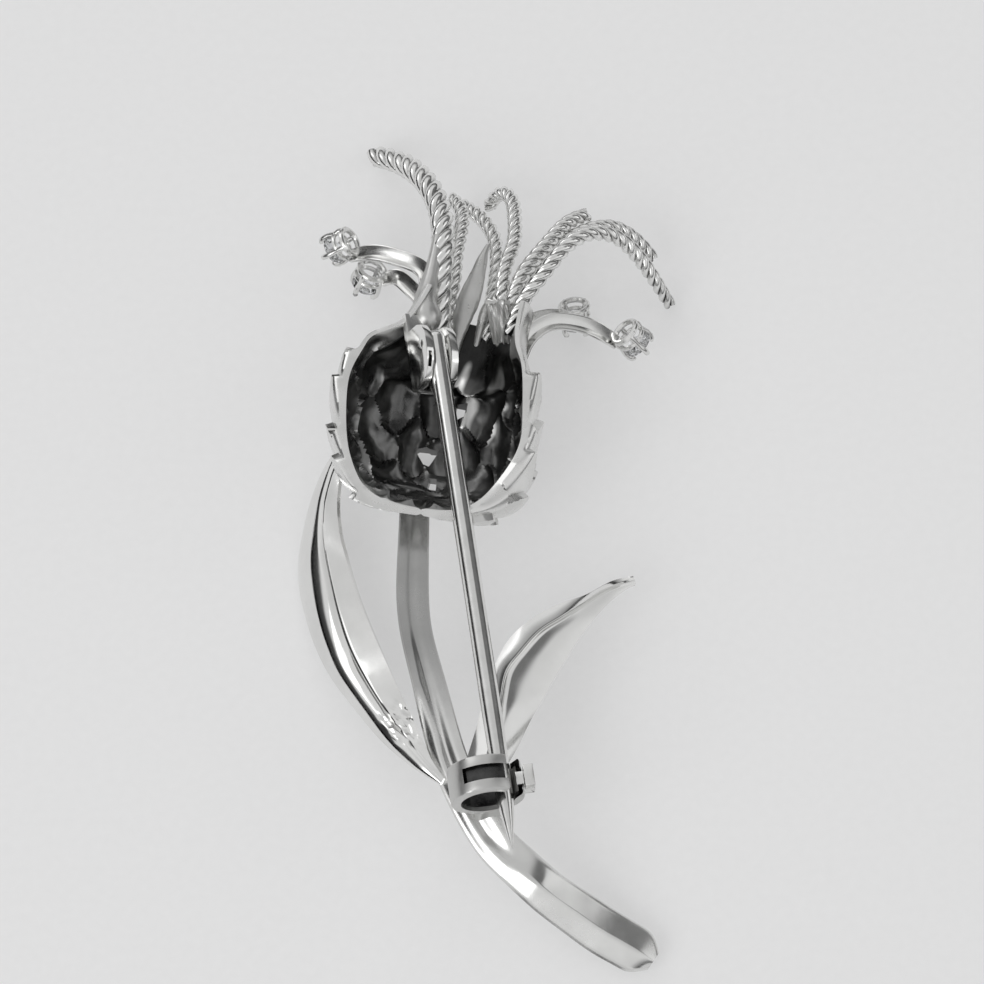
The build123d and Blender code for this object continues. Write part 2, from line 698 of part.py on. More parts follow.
stone_seat = claw_length - claw_over_stone - stone_crown
seat_depth = stone_pavilion * 0.35
for name, (base, axis, rows) in stamens.items():
    place = setting_plane(name)
    centre = Vector(*spray_point(base, stamen_side, stamen_up, stamen_height))
    points = [spray_point(r, stamen_side, stamen_up, stamen_height) for r in rows]
    # The strap ends in the side of the collet that it comes from
    back = Vector(*points[-1]) - centre
    out = Vector(*axis).normalized()
    sideways = (back - out * back.dot(out)).normalized()
    points.append(tuple(centre + sideways * (collet_radius - collet_wall * 0.6) + out * collet_band * 0.4))
    strap_points = spread(points, strap_stations)
    strap_section = channel_section(strap_width, strap_depth, strap_wall)
    with BuildPart() as stamen:
        add(solid_of_rings(swept_rings(strap_points, [strap_section] * strap_stations)))
        with BuildSketch(place.offset(-collet_drop)):
            Circle(collet_radius)
        extrude(amount=collet_band + collet_drop)
        with BuildSketch(place.offset(claw_start)):
            with PolarLocations(collet_radius, 4, start_angle=45):
                Circle(claw_diameter / 2)
        extrude(amount=claw_length - claw_start)
        # The collet is open below, and the claws are cut back inside up to the crown
        with BuildSketch(place.offset(-collet_open)):
            Circle(collet_radius - collet_wall)
        extrude(amount=stone_seat + stone_crown + collet_open - girdle / 2, mode=Mode.SUBTRACT)
        with BuildSketch(place.offset(stone_seat - seat_depth)):
            Circle(stone_diameter / 2 + stone_clearance)
        extrude(amount=seat_depth + 2 * girdle, mode=Mode.SUBTRACT)
        add(calyx.part if name in ("left_back", "right_front") else solder_space.part, mode=Mode.SUBTRACT)
        if name == "left_front":
            add(made["bristle_far_left"], mode=Mode.SUBTRACT)
        add(largest(stamen.part), mode=Mode.REPLACE)
    stamen.part.label = "stamen_" + name
    export_step(stamen.part, "parts/stamen_" + name + ".step")

    # Stone: table, crown, girdle and pavilion, eight facets round
    levels = [
        (stone_seat + stone_crown, stone_table),
        (stone_seat + girdle / 2, 1.0),
        (stone_seat - girdle / 2, 1.0),
        (stone_seat - stone_pavilion, stone_culet),
    ]
    rings = []
    for height, share in levels:
        ring = []
        for k in range(stone_facets):
            turn = 2 * pi * (k + 0.5) / stone_facets
            across = stone_diameter / 2 * share
            p = place.from_local_coords((across * cos(turn), across * sin(turn), height))
            ring.append((p.X, p.Y, p.Z))
        rings.append(ring)
    with BuildPart() as stone:
        add(solid_of_rings(rings))
    stone.part.label = "stone_" + name
    export_step(stone.part, "parts/stone_" + name + ".step")

# Strips: two smooth tapered strips that lie in the neck
strip_half = 0.22
strip_stations = 12
strips = {
    "tongue_left": (1.15, [
        (-0.055, -0.19, 0.47), (-0.03, -0.05, 0.56), (0.02, 0.09, 0.65), (0.065, 0.20, 0.72),
        (0.105, 0.32, 0.75),
    ]),
    "tongue_right": (0.8, [(0.05, -0.14, 0.44), (0.085, -0.02, 0.55), (0.12, 0.09, 0.63)]),
}
for name, (wide, rows) in strips.items():
    points = spread([spray_point(r, spray_side, spray_up, spray_height) for r in rows], strip_stations)
    sections = []
    for i in range(strip_stations):
        width = wide * (0.55 + 0.45 * sin(pi * (i + 1.2) / (strip_stations + 1)))
        sections.append([
            (-width / 2 * cos(pi * k / 5), strip_half * sin(pi * k / 5)) for k in range(10)
        ])
    with BuildPart() as strip:
        add(solid_of_rings(swept_rings(points, sections)))
        add(solder_space.part, mode=Mode.SUBTRACT)
        add(made["bristle_low_mid"], mode=Mode.SUBTRACT)
        add(largest(strip.part), mode=Mode.REPLACE)
    strip.part.label = name
    export_step(strip.part, "parts/" + name + ".step")
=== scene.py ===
import math

import bmesh
import bpy
import numpy as np
from mathutils import Matrix, Vector, noise


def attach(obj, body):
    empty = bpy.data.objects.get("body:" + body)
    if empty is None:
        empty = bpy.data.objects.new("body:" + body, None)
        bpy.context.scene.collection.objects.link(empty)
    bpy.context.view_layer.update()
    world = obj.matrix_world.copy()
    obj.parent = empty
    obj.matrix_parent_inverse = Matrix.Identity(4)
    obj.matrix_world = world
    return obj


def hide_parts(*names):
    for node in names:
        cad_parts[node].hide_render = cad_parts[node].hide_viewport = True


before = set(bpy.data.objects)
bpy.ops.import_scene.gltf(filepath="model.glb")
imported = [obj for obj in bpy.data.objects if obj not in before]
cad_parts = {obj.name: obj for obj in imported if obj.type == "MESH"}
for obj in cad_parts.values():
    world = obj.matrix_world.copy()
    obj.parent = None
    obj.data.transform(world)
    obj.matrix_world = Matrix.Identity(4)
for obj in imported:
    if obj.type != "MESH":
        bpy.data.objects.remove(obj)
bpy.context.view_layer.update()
print("frame loaded")

millimetre = 0.001


# Shared helpers, all in millimetres


def smoothRows(rows, count):
    # natural cubic line through the rows, spaced evenly along its first three columns
    rows = np.array(rows, float)
    steps = np.linalg.norm(np.diff(rows[:, :3], axis=0), axis=1)
    at = np.concatenate([[0.0], np.cumsum(steps)])
    size = len(rows)
    left, right = np.eye(size), np.zeros_like(rows)
    for i in range(1, size - 1):
        left[i, i - 1:i + 2] = steps[i - 1], 2 * (steps[i - 1] + steps[i]), steps[i]
        right[i] = 6 * ((rows[i + 1] - rows[i]) / steps[i] - (rows[i] - rows[i - 1]) / steps[i - 1])
    bend = np.linalg.solve(left, right)

    def value(t):
        i = min(max(int(np.searchsorted(at, t)) - 1, 0), size - 2)
        h, a, b = steps[i], at[i + 1] - t, t - at[i]
        return (bend[i] * a**3 + bend[i + 1] * b**3) / (6 * h) + (
            (rows[i] / h - bend[i] * h / 6) * a + (rows[i + 1] / h - bend[i + 1] * h / 6) * b
        )

    dense = np.array([value(t) for t in np.linspace(0, at[-1], count * 6)])
    run = np.concatenate([[0.0], np.cumsum(np.linalg.norm(np.diff(dense[:, :3], axis=0), axis=1))])
    even = np.linspace(0, run[-1], count)
    return np.array([np.interp(even, run, dense[:, k]) for k in range(rows.shape[1])]).T


def pathFrames(points):
    # position, side and up at each point of a line; side is level, up leans to the brooch's back
    frames = []
    for i, point in enumerate(points):
        ahead = Vector(points[min(i + 1, len(points) - 1)]) - Vector(points[max(i - 1, 0)])
        tangent = ahead.normalized()
        side = tangent.cross(Vector((0, 0, 1))).normalized()
        frames.append((Vector(point), side, side.cross(tangent)))
    return frames


def skin(rings):
    # quads between closed rings of points, with a fan at each end
    verts = [Vector(p) for ring in rings for p in ring]
    count, faces = len(rings[0]), []
    for r in range(len(rings) - 1):
        for i in range(count):
            j = (i + 1) % count
            faces.append((r * count + i, r * count + j, (r + 1) * count + j, (r + 1) * count + i))
    for first in (0, (len(rings) - 1) * count):
        verts.append(sum((verts[first + i] for i in range(count)), Vector()) / count)
        for i in range(count):
            faces.append((first + i, first + (i + 1) % count, len(verts) - 1))
    return verts, faces


def clamped(value):
    return min(1.0, max(0.0, value))


def joined(parts):
    verts, faces = [], []
    for partVerts, partFaces in parts:
        start = len(verts)
        verts += partVerts
        faces += [tuple(start + i for i in face) for face in partFaces]
    return verts, faces


def linked(name, mesh):
    piece = bpy.data.objects.new(name, mesh)
    bpy.context.scene.collection.objects.link(piece)
    return piece


def outward(mesh, mergeAt=0.0, dissolveAt=0.0):
    # normals that point out, once points closer than mergeAt are one
    work = bmesh.new()
    work.from_mesh(mesh)
    if mergeAt:
        bmesh.ops.remove_doubles(work, verts=work.verts, dist=mergeAt * millimetre)
        bmesh.ops.dissolve_degenerate(work, dist=dissolveAt * millimetre, edges=work.edges)
    bmesh.ops.recalc_face_normals(work, faces=work.faces)
    work.to_mesh(mesh)
    work.free()


def rawPiece(name, shape, material=None, mergeAt=0.0, dissolveAt=0.0):
    mesh = bpy.data.meshes.new(name)
    mesh.from_pydata([v * millimetre for v in shape[0]], [], shape[1])
    if material:
        mesh.materials.append(material)
    outward(mesh, mergeAt, dissolveAt)
    return linked(name, mesh)


def newPiece(name, shape, material, body="brooch", smoothAngle=40):
    # mesh with outward normals, in place, riding on its body
    piece = rawPiece(name, shape, material, 0.002, 0.0002)
    shadeByAngle(piece.data, smoothAngle)
    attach(piece, body)
    return piece


def applied(piece):
    # turns the evaluated result into the piece's plain mesh
    graph = bpy.context.evaluated_depsgraph_get()
    graph.update()
    result = bpy.data.meshes.new_from_object(piece.evaluated_get(graph))
    piece.modifiers.clear()
    old, piece.data = piece.data, result
    if old.users == 0:
        bpy.data.meshes.remove(old)


def shadeByAngle(mesh, degrees):
    mesh.shade_smooth()
    mesh.set_sharp_from_angle(angle=math.radians(degrees))


def tube(rows, sides):
    # round tube whose fourth column is its radius
    rings = []
    for (point, side, up), row in zip(pathFrames([r[:3] for r in rows]), rows):
        turns = [2 * math.pi * k / sides for k in range(sides)]
        rings.append([point + (side * math.cos(turn) + up * math.sin(turn)) * row[3] for turn in turns])
    return skin(rings)


def sweep(points, sections):
    rings = []
    for (point, side, up), section in zip(pathFrames(points), sections):
        rings.append([point + side * a + up * b for a, b in section])
    return skin(rings)


def turnedSolid(name, outline, place, sides=72):
    # outline of (radius, height) turned about the local Z of place
    turns = [2 * math.pi * k / sides for k in range(sides)]
    return rawPiece(name, skin([
        [place @ Vector((radius * math.cos(turn), radius * math.sin(turn), height)) for turn in turns]
        for radius, height in outline
    ]))


def prism(name, corners, low, high, place):
    # flat outline raised along the local Z of place
    return rawPiece(name, skin([[place @ Vector((x, y, z)) for x, y in corners] for z in (low, high)]))


def box(name, place, x, y, z):
    return prism(name, [(x[0], y[0]), (x[1], y[0]), (x[1], y[1]), (x[0], y[1])], z[0], z[1], place)


def combine(piece, others, operation):
    # exact boolean with each of the others, which are used up
    for other in others:
        cut = piece.modifiers.new("combine", "BOOLEAN")
        cut.operation, cut.object, cut.solver = operation, other, "EXACT"
        applied(piece)
        bpy.data.objects.remove(other)


def finished(piece, material, body="brooch", bevel=0.0, segments=3):
    # softened edges, one material, smooth shading and a body to ride on
    bevelFrom, smoothAngle = 35, 35
    if bevel:
        edge = piece.modifiers.new("softEdge", "BEVEL")
        edge.width, edge.segments, edge.limit_method = bevel * millimetre, segments, "ANGLE"
        edge.angle_limit = math.radians(bevelFrom)
        applied(piece)
    piece.data.materials.clear()
    piece.data.materials.append(material)
    piece.data.polygons.foreach_set("material_index", [0] * len(piece.data.polygons))
    shadeByAngle(piece.data, smoothAngle)
    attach(piece, body)


def planeAt(origin, across, along):
    # matrix whose local X is across and local Z is along
    z = Vector(along).normalized()
    x = Vector(across)
    x = (x - z * x.dot(z)).normalized()
    y = z.cross(x)
    rows = [(x[i], y[i], z[i], origin[i]) for i in range(3)]
    return Matrix((*rows, (0, 0, 0, 1)))


# Nodes: each input is a value or the socket that feeds it


def feed(tree, node, inputs):
    for slot, value in inputs.items():
        if isinstance(value, bpy.types.NodeSocket):
            tree.links.new(value, node.inputs[slot])
        else:
            node.inputs[slot].default_value = value


def addNode(tree, kind, inputs=None, **settings):
    node = tree.nodes.new(kind)
    for key, value in settings.items():
        setattr(node, key, value)
    feed(tree, node, inputs or {})
    return node


def addMaths(tree, operation, *values):
    return addNode(tree, "ShaderNodeMath", dict(enumerate(values)), operation=operation).outputs[0]


def addRamp(tree, source, stops):
    ramp = addNode(tree, "ShaderNodeValToRGB", {"Fac": source})
    for _ in stops[2:]:
        ramp.color_ramp.elements.new(0.5)
    for element, (position, colour) in zip(ramp.color_ramp.elements, stops):
        element.position, element.color = position, (*colour, 1)
    return ramp.outputs["Color"]


def grey(stops):
    return [(position, (shade, shade, shade)) for position, shade in stops]


def addGroup(name, kind, inputs, outputs):
    # inputs are (label, socket kind, value), outputs (label, socket kind)
    tree = bpy.data.node_groups.new(name, kind)
    for label, socketKind, value in inputs:
        socket = tree.interface.new_socket(name=label, in_out="INPUT", socket_type="NodeSocket" + socketKind)
        if value is not None:
            socket.default_value = value
    for label, socketKind in outputs:
        tree.interface.new_socket(name=label, in_out="OUTPUT", socket_type="NodeSocket" + socketKind)
    return tree, tree.nodes.new("NodeGroupInput").outputs, tree.nodes.new("NodeGroupOutput")


# Finishes


def newMaterial(name):
    material = bpy.data.materials.new(name)
    material.use_nodes = True
    return material, material.node_tree, material.node_tree.nodes["Principled BSDF"]


def polishWearGroup():
    # soft smudges, fine hairlines and small dents of metal that has been worn
    labels = (("Smudge Scale", 300.0), ("Hairline Scale", 900.0), ("Low", 0.06), ("High", 0.2), ("Dent", 0.3))
    tree, source, sink = addGroup(
        "polishWear", "ShaderNodeTree", [(label, "Float", value) for label, value in labels],
        [(label, "Float") for label in ("Roughness", "Height", "Mask")],
    )
    place = addNode(tree, "ShaderNodeTexCoord").outputs["Object"]
    stretch = addNode(tree, "ShaderNodeMapping", {
        "Vector": place, "Rotation": (0.3, 0.2, 0.55), "Scale": (1.0, 0.06, 1.0)}).outputs["Vector"]
    smudge = addNode(tree, "ShaderNodeTexNoise", {
        "Vector": place, "Scale": source["Smudge Scale"], "Detail": 5.0, "Roughness": 0.6}).outputs["Fac"]
    hairs = addNode(tree, "ShaderNodeTexNoise", {
        "Vector": stretch, "Scale": source["Hairline Scale"], "Detail": 3.0}).outputs["Fac"]
    dents = addNode(tree, "ShaderNodeTexNoise", {
        "Vector": place, "Scale": 420.0, "Detail": 2.0}).outputs["Fac"]
    reach = addNode(tree, "ShaderNodeMapRange", {
        "Value": smudge, "From Min": 0.35, "From Max": 0.7,
        "To Min": source["Low"], "To Max": source["High"]})
    hairRough, hairDeep = 0.05, 0.12
    dented = addMaths(tree, "MULTIPLY", dents, source["Dent"])
    feed(tree, sink, {
        "Roughness": addMaths(tree, "MULTIPLY_ADD", hairs, hairRough, reach.outputs["Result"]),
        "Height": addMaths(tree, "MULTIPLY_ADD", hairs, hairDeep, dented),
        "Mask": smudge,
    })
    return tree


wearLabels = ("Smudge Scale", "Hairline Scale", "Low", "High", "Dent")
finishColumns = ("light", "dark", "metallic", *wearLabels, "bump", "deep")
finishes = {
    "polishedMetal": ((0.86, 0.86, 0.85), (0.76, 0.76, 0.75), 1.0, 260, 1400, 0.05, 0.16, 0.4, 0.35, 0.02),
    "bowlMetal": ((0.34, 0.34, 0.335), (0.13, 0.13, 0.13), 1.0, 420, 1700, 0.22, 0.4, 0.7, 0.3, 0.04),
    "satinMetal": ((0.84, 0.84, 0.83), (0.72, 0.72, 0.71), 1.0, 380, 2400, 0.12, 0.26, 0.3, 0.4, 0.015),
    "matteMetal": ((0.66, 0.66, 0.65), (0.56, 0.56, 0.55), 1.0, 500, 2600, 0.3, 0.42, 0.5, 0.35, 0.02),
    # painted shade for the tube that turns inside the catch's barrel
    "paintedShadeMetal": ((0.12, 0.12, 0.12), (0.04, 0.04, 0.04), 0.9, 700, 2400, 0.2, 0.45, 0.6, 0.5, 0.03),
    "smoothSolder": ((0.70, 0.70, 0.69), (0.50, 0.50, 0.49), 0.7, 320, 1400, 0.22, 0.4, 1.0, 0.5, 0.05),
    "wireMetal": ((0.84, 0.84, 0.83), (0.70, 0.70, 0.69), 1.0, 500, 2600, 0.09, 0.2, 0.4, 0.25, 0.015),
    "stemMetal": ((0.82, 0.82, 0.81), (0.70, 0.70, 0.69), 1.0, 300, 1600, 0.14, 0.3, 0.4, 0.3, 0.02),
    "ropeMetal": ((0.90, 0.90, 0.89), (0.74, 0.74, 0.73), 1.0, 500, 1800, 0.1, 0.22, 0.4, 0.4, 0.02),
    "scaleMetal": ((0.84, 0.84, 0.83), (0.68, 0.68, 0.67), 1.0, 420, 1800, 0.16, 0.34, 0.6, 0.4, 0.03),
}
polishWear = polishWearGroup()


def metalFinish(name):
    settings = dict(zip(finishColumns, finishes[name]))
    material, tree, shader = newMaterial(name)
    wear = addNode(tree, "ShaderNodeGroup", node_tree=polishWear)
    feed(tree, wear, {label: settings[label] for label in wearLabels})
    bump = addNode(tree, "ShaderNodeBump", {
        "Strength": settings["bump"], "Distance": settings["deep"] * millimetre,
        "Height": wear.outputs["Height"]})
    feed(tree, shader, {
        "Base Color": addRamp(tree, wear.outputs["Mask"], [
            (0.3, settings["dark"]), (0.72, settings["light"])]),
        "Roughness": wear.outputs["Roughness"], "Normal": bump.outputs["Normal"],
        "Metallic": settings["metallic"],
    })
    return material


def darkenAlongGroup():
    # share of the colour kept where the metal is painted darker, unevenly along Way
    labels = (("Start", 0.0), ("Cloud Scale", 300.0), ("Uneven", 0.5), ("Darkest", 0.3))
    inputs = [("Way", "Vector", None)] + [(label, "Float", value) for label, value in labels]
    tree, source, sink = addGroup("darkenAlong", "ShaderNodeTree", inputs, [("Shade", "Float")])
    place = addNode(tree, "ShaderNodeTexCoord").outputs["Object"]
    run = addNode(tree, "ShaderNodeVectorMath", {0: place, 1: source["Way"]}, operation="DOT_PRODUCT")
    cloud = addNode(tree, "ShaderNodeTexNoise", {
        "Vector": place, "Scale": source["Cloud Scale"], "Detail": 3.0})
    less = addMaths(tree, "SUBTRACT", cloud.outputs["Fac"], 0.5)
    shift = addMaths(tree, "MULTIPLY_ADD", less, source["Uneven"], run.outputs["Value"])
    reach = addNode(tree, "ShaderNodeMapRange", {
        "Value": addMaths(tree, "SUBTRACT", shift, source["Start"]),
        "To Min": 1.0, "To Max": source["Darkest"],
    }, interpolation_type="SMOOTHSTEP")
    feed(tree, sink, {"Shade": reach.outputs["Result"]})
    return tree


def tinted(material, factor, second, blend):
    # mixes a second colour into the metal's own
    tree = material.node_tree
    shader = tree.nodes["Principled BSDF"]
    colour = shader.inputs["Base Color"].links[0].from_socket
    mixed = addNode(tree, "ShaderNodeMix", {"Factor": factor, "A": colour, "B": second},
                    data_type="RGBA", blend_type=blend)
    feed(tree, shader, {"Base Color": mixed.outputs["Result"]})


def attributeReach(tree, attribute, settings):
    source = addNode(tree, "ShaderNodeAttribute", attribute_name=attribute)
    return addNode(tree, "ShaderNodeMapRange", {
        "Value": source.outputs["Fac"], "From Min": settings["from"], "From Max": settings["to"],
        "To Min": settings.get("darkest", 0.0),
    }, interpolation_type="SMOOTHSTEP").outputs["Result"]


def darkenAlong(material, settings):
    # darkens the metal smoothly from one place to another
    way = (Vector(settings["to"]) - Vector(settings["from"])) * millimetre
    darkenNode = addNode(material.node_tree, "ShaderNodeGroup", node_tree=darkenAlongTree)
    start = Vector(settings["from"]).dot(way) * millimetre / way.length_squared
    feed(material.node_tree, darkenNode, {
        "Way": way / way.length_squared, "Start": start,
        "Cloud Scale": settings["cloud"], "Uneven": settings["uneven"], "Darkest": settings["darkest"],
    })
    tinted(material, 1.0, darkenNode.outputs["Shade"], "MULTIPLY")


def wornRidgeSheen(material, settings):
    # brightens the ridges between the plates of the bowl and its rim's inner edge, partly as real wear and
    # partly as painted highlight, and the neck's floor in streaks
    tinted(material, attributeReach(material.node_tree, "wornAndSheen", settings), (*settings["colour"], 1), "MIX")


def paintedCreviceShade(material, settings):
    # painted shade: darkens what lies near the middle of a rope, in the gaps between the strands
    tinted(material, 1.0, attributeReach(material.node_tree, "offMiddle", settings), "MULTIPLY")


def stoneFinish():
    material, tree, shader = newMaterial("clearStone")
    place = addNode(tree, "ShaderNodeTexCoord").outputs["Object"]
    grime = addNode(tree, "ShaderNodeTexNoise", {"Vector": place, "Scale": 900.0}).outputs["Fac"]
    reach = addNode(tree, "ShaderNodeMapRange", {
        "Value": grime, "From Min": 0.45, "From Max": 0.75, "To Min": 0.0, "To Max": 0.12})
    feed(tree, shader, {
        "Base Color": (0.97, 0.98, 1.0, 1), "Transmission Weight": 1.0, "IOR": 2.2,
        "Roughness": reach.outputs["Result"]})
    return material


def paperFinish():
    material, tree, shader = newMaterial("paperFinish")
    place = addNode(tree, "ShaderNodeTexCoord").outputs["Object"]
    grain = addNode(tree, "ShaderNodeTexNoise", {
        "Vector": place, "Scale": 1500.0, "Detail": 4.0}).outputs["Fac"]
    bump = addNode(tree, "ShaderNodeBump", {"Strength": 0.15, "Distance": 0.05 * millimetre, "Height": grain})
    # the sheet is evenly bright, as if lit from behind
    feed(tree, shader, {
        "Base Color": addRamp(tree, grain, [(0.0, (0.42, 0.42, 0.422)), (1.0, (0.46, 0.46, 0.462))]),
        "Normal": bump.outputs["Normal"], "Roughness": 0.85,
        "Emission Color": (1.0, 1.0, 1.0, 1), "Emission Strength": 0.38,
    })
    return material


metals = {name: metalFinish(name) for name in finishes}
darkenAlongTree = darkenAlongGroup()
# the bowl is painted darker towards the neck at its upper right
darkenAlong(metals["bowlMetal"], {
    "from": (-5.0, 5.0, 4.0), "to": (0.5, 11.5, 4.0), "darkest": 0.16, "cloud": 330.0, "uneven": 0.9})
# partly wear, partly painted highlight: the ridges between the plates and the rim's inner edge are lighter
wornRidgeSheen(metals["bowlMetal"], {"from": 0.42, "to": 0.75, "colour": (0.72, 0.72, 0.71)})
# the stem is painted darker on its upper part, towards the bowl
darkenAlong(metals["stemMetal"], {
    "from": (-1.0, -16.0, 6.0), "to": (-4.5, -8.0, 6.0), "darkest": 0.56, "cloud": 200.0, "uneven": 0.3})
# painted shade in the gaps between the rope's strands
paintedCreviceShade(metals["ropeMetal"], {"from": 0.42, "to": 0.9, "darkest": 0.06})
clearStone = stoneFinish()
print("finishes made")

# Floor, light and camera
studio = {
    "elevation": 67.0, "distance": 340.0, "target": (0.19, 2.87, 4.0), "viewWidth": 65.6, "sensor": 36.0,
    "floorSize": 900.0, "floorAt": -0.01, "worldStrength": 1.08, "near": 0.005, "far": 10.0,
    "sky": [(0.0, 0.03), (0.12, 0.03), (0.19, 0.3), (0.32, 0.45), (0.45, 0.72), (0.72, 0.72), (0.86, 0.64),
            (0.95, 0.58), (1.0, 0.58)],
    "rightPatch": (0.70, 0.39, 0.60), "rightDark": [(0.0, 1.0), (0.87, 1.0), (0.92, 0.22)],
    "leftDark": [(0.0, 1.0), (0.36, 1.0), (0.5, 0.12), (1.0, 0.12)],
    "lamps": {
        "keySoftbox": {"at": (-260, -260, 300), "size": 300, "power": 0.55},
        "backSoftbox": {"at": (-330, 300, 300), "size": 240, "power": 0.16},
        "rightFill": {"at": (400, 60, 260), "size": 220, "power": 0.12},
    },
}


def makeStudio(s):
    half = s["floorSize"] / 2
    floorMesh = bpy.data.meshes.new("floor")
    corners = ((-half, -half), (half, -half), (half, half), (-half, half))
    floorMesh.from_pydata([Vector((x, y, s["floorAt"])) * millimetre for x, y in corners], [], [(0, 1, 2, 3)])
    floorMesh.materials.append(paperFinish())
    floor = linked("floor", floorMesh)
    data = bpy.data.cameras.new("photoCamera")
    data.lens, data.sensor_width = s["sensor"] * s["distance"] / s["viewWidth"], s["sensor"]
    data.clip_start, data.clip_end = s["near"], s["far"]
    camera = linked("photoCamera", data)
    tilt = math.radians(s["elevation"])
    away = Vector((0, -math.cos(tilt), math.sin(tilt))) * s["distance"]
    camera.location = (Vector(s["target"]) + away) * millimetre
    camera.rotation_euler = (math.pi / 2 - tilt, 0, 0)
    bpy.context.scene.camera = camera


def makeLights(s):
    for name, lamp in s["lamps"].items():
        data = bpy.data.lights.new(name, "AREA")
        data.shape, data.size = "SQUARE", lamp["size"] * millimetre
        data.energy = lamp["power"]
        light = linked(name, data)
        light.location = Vector(lamp["at"]) * millimetre
        light.rotation_euler = (-light.location).to_track_quat("-Z", "Y").to_euler()


def makeWorld(s):
    # the room is darker high on the right and low on the left, which draws the dark stripes in the metal
    world = bpy.data.worlds.new("studioWorld")
    bpy.context.scene.world = world
    world.use_nodes = True
    tree = world.node_tree
    place = addNode(tree, "ShaderNodeTexCoord").outputs["Generated"]
    split = addNode(tree, "ShaderNodeSeparateXYZ", {"Vector": place}).outputs
    toPatch = addNode(tree, "ShaderNodeVectorMath", {0: place, 1: Vector(s["rightPatch"]).normalized()},
                      operation="DOT_PRODUCT").outputs["Value"]
    # grows from 0 in the middle and overhead to 1 at the horizon on the left
    leftward = addNode(tree, "ShaderNodeMath", {0: split["X"], 1: -1.0}, operation="MULTIPLY", use_clamp=True)
    lowness = addMaths(tree, "MULTIPLY_ADD", split["Z"], -1.0, 1.0)
    leftLow = addMaths(tree, "MULTIPLY", lowness, leftward.outputs[0])
    colour = addRamp(tree, split["Z"], grey(s["sky"]))
    for source, stops in ((toPatch, s["rightDark"]), (leftLow, s["leftDark"])):
        colour = addNode(tree, "ShaderNodeMix", {
            "Factor": 1.0, "A": colour, "B": addRamp(tree, source, grey(stops)),
        }, data_type="RGBA", blend_type="MULTIPLY").outputs["Result"]
    feed(tree, tree.nodes["Background"], {"Color": colour, "Strength": s["worldStrength"]})
    bpy.context.scene.view_settings.view_transform = "Standard"


makeStudio(studio)
makeLights(studio)
makeWorld(studio)
print("studio made")

# Calyx: scales outside, dented oxidised metal inside
calyx = {
    "centre": (-3.51, 5.67, 6.7675), "lean": 11.0, "radius": 6.3, "length": 16.5, "bottomShare": 0.394,
    "flat": 0.967, "wall": 0.5, "rimWall": 0.26, "rimAbove": 2.0, "tuck": 0.74, "tuckReach": 9.0,
    "columns": 169, "rows": 150, "insideRows": 130, "gapFrom": -1.0, "gapTo": 3.4,
    # scales outside: their rows, and how far they stand out under the bowl and at its sides
    "scalesRound": 13, "scaleRows": 5, "firstTip": 4.5, "pitch": 2.75, "notch": 1.5, "notchCurve": 1.35,
    "proudUnder": 0.42, "proudSide": 0.85, "scaleFade": 26,
    # plates inside: how deep they are dished, how far they are warped, and the grain of each
    "platesRound": 10, "dish": 0.62, "dishGrain": 0.3, "warp": 1.5, "warpGrain": 0.35, "warpTurn": 12,
    "dent": 0.05, "dentGrain": 1.6, "wornSheenGrain": 0.55, "plateFade": 12, "perDegree": 0.11,
    "plateStretch": 0.88, "plateShift": 0.6, "dishLeast": 0.55, "dishSpread": 0.9, "wornSheenLeast": 0.5,
    "wornSheenSpread": 1.1,
    # bright streaks on the floor of the neck: where they begin, over what length, how bright
    "streakFrom": (-1.0, 13.0), "streakOver": 1.2, "streakLeast": 0.72, "streakSpread": 0.9,
    "streakGrain": (2.6, 0.35, 0.3),
    # where the wall leans in towards the rim at the lower right
    "leanIn": 0.85, "leanInAt": 6.0, "leanInReach": 5.0, "leanInFrom": 0.72, "leanInOver": 0.28,
}
# share of the length, share of the radius, and the middle's shift to the side as a share of the radius
calyxProfile = [
    (0.000, 0.06, 0.04), (0.003, 0.28, 0.04), (0.012, 0.46, 0.04), (0.030, 0.60, 0.04),
    (0.073, 0.76, 0.04), (0.139, 0.88, 0.04), (0.224, 0.965, 0.02), (0.339, 1.02, -0.01),
    (0.455, 1.035, -0.05), (0.570, 1.015, -0.08), (0.682, 0.95, -0.07), (0.740, 0.895, -0.058),
    (0.785, 0.79, -0.005), (0.830, 0.705, 0.045), (0.890, 0.66, 0.075), (0.945, 0.635, 0.10),
    (1.000, 0.62, 0.12),
]
# pierced gaps: place along the axis and to the side, then corners
calyxGaps = [
    (4.2, 0.75, [(-0.35, -0.55), (0.35, -0.4), (0.42, 0.5), (-0.3, 0.55)]),
    (0.95, -0.95, [(-0.85, 0.35), (0.8, 0.55), (0.35, -0.85), (0.0, -0.9)]),
    (-1.15, -0.1, [(-0.3, -0.4), (0.3, -0.35), (0.22, 0.42), (-0.25, 0.4)]),
]
calyxCentre = Vector(calyx["centre"])
lean = math.radians(calyx["lean"])
calyxSide = Vector((math.cos(lean), -math.sin(lean), 0))
calyxAxis = Vector((math.sin(lean), math.cos(lean), 0))
profile = smoothRows([
    (calyx["length"] * (s - calyx["bottomShare"]), calyx["radius"] * r, 0, calyx["radius"] * b)
    for s, r, b in calyxProfile
], 400)
profileRun = np.concatenate([[0.0], np.cumsum(np.linalg.norm(np.diff(profile[:, :2], axis=0), axis=1))])
profileLength = float(profileRun[-1])


def profileAt(distance):
    # station, radius, sideways bow and outward normal of the plain wall
    station, radius, bow = (float(np.interp(distance, profileRun, profile[:, k])) for k in (0, 1, 3))
    step = 0.1
    ahead = [float(np.interp(min(distance + step, profileLength), profileRun, profile[:, k])) for k in (0, 1)]
    before = [float(np.interp(max(distance - step, 0), profileRun, profile[:, k])) for k in (0, 1)]
    slope = Vector((ahead[0] - before[0], ahead[1] - before[1])).normalized()
    return station, radius, bow, (-slope.y, slope.x)


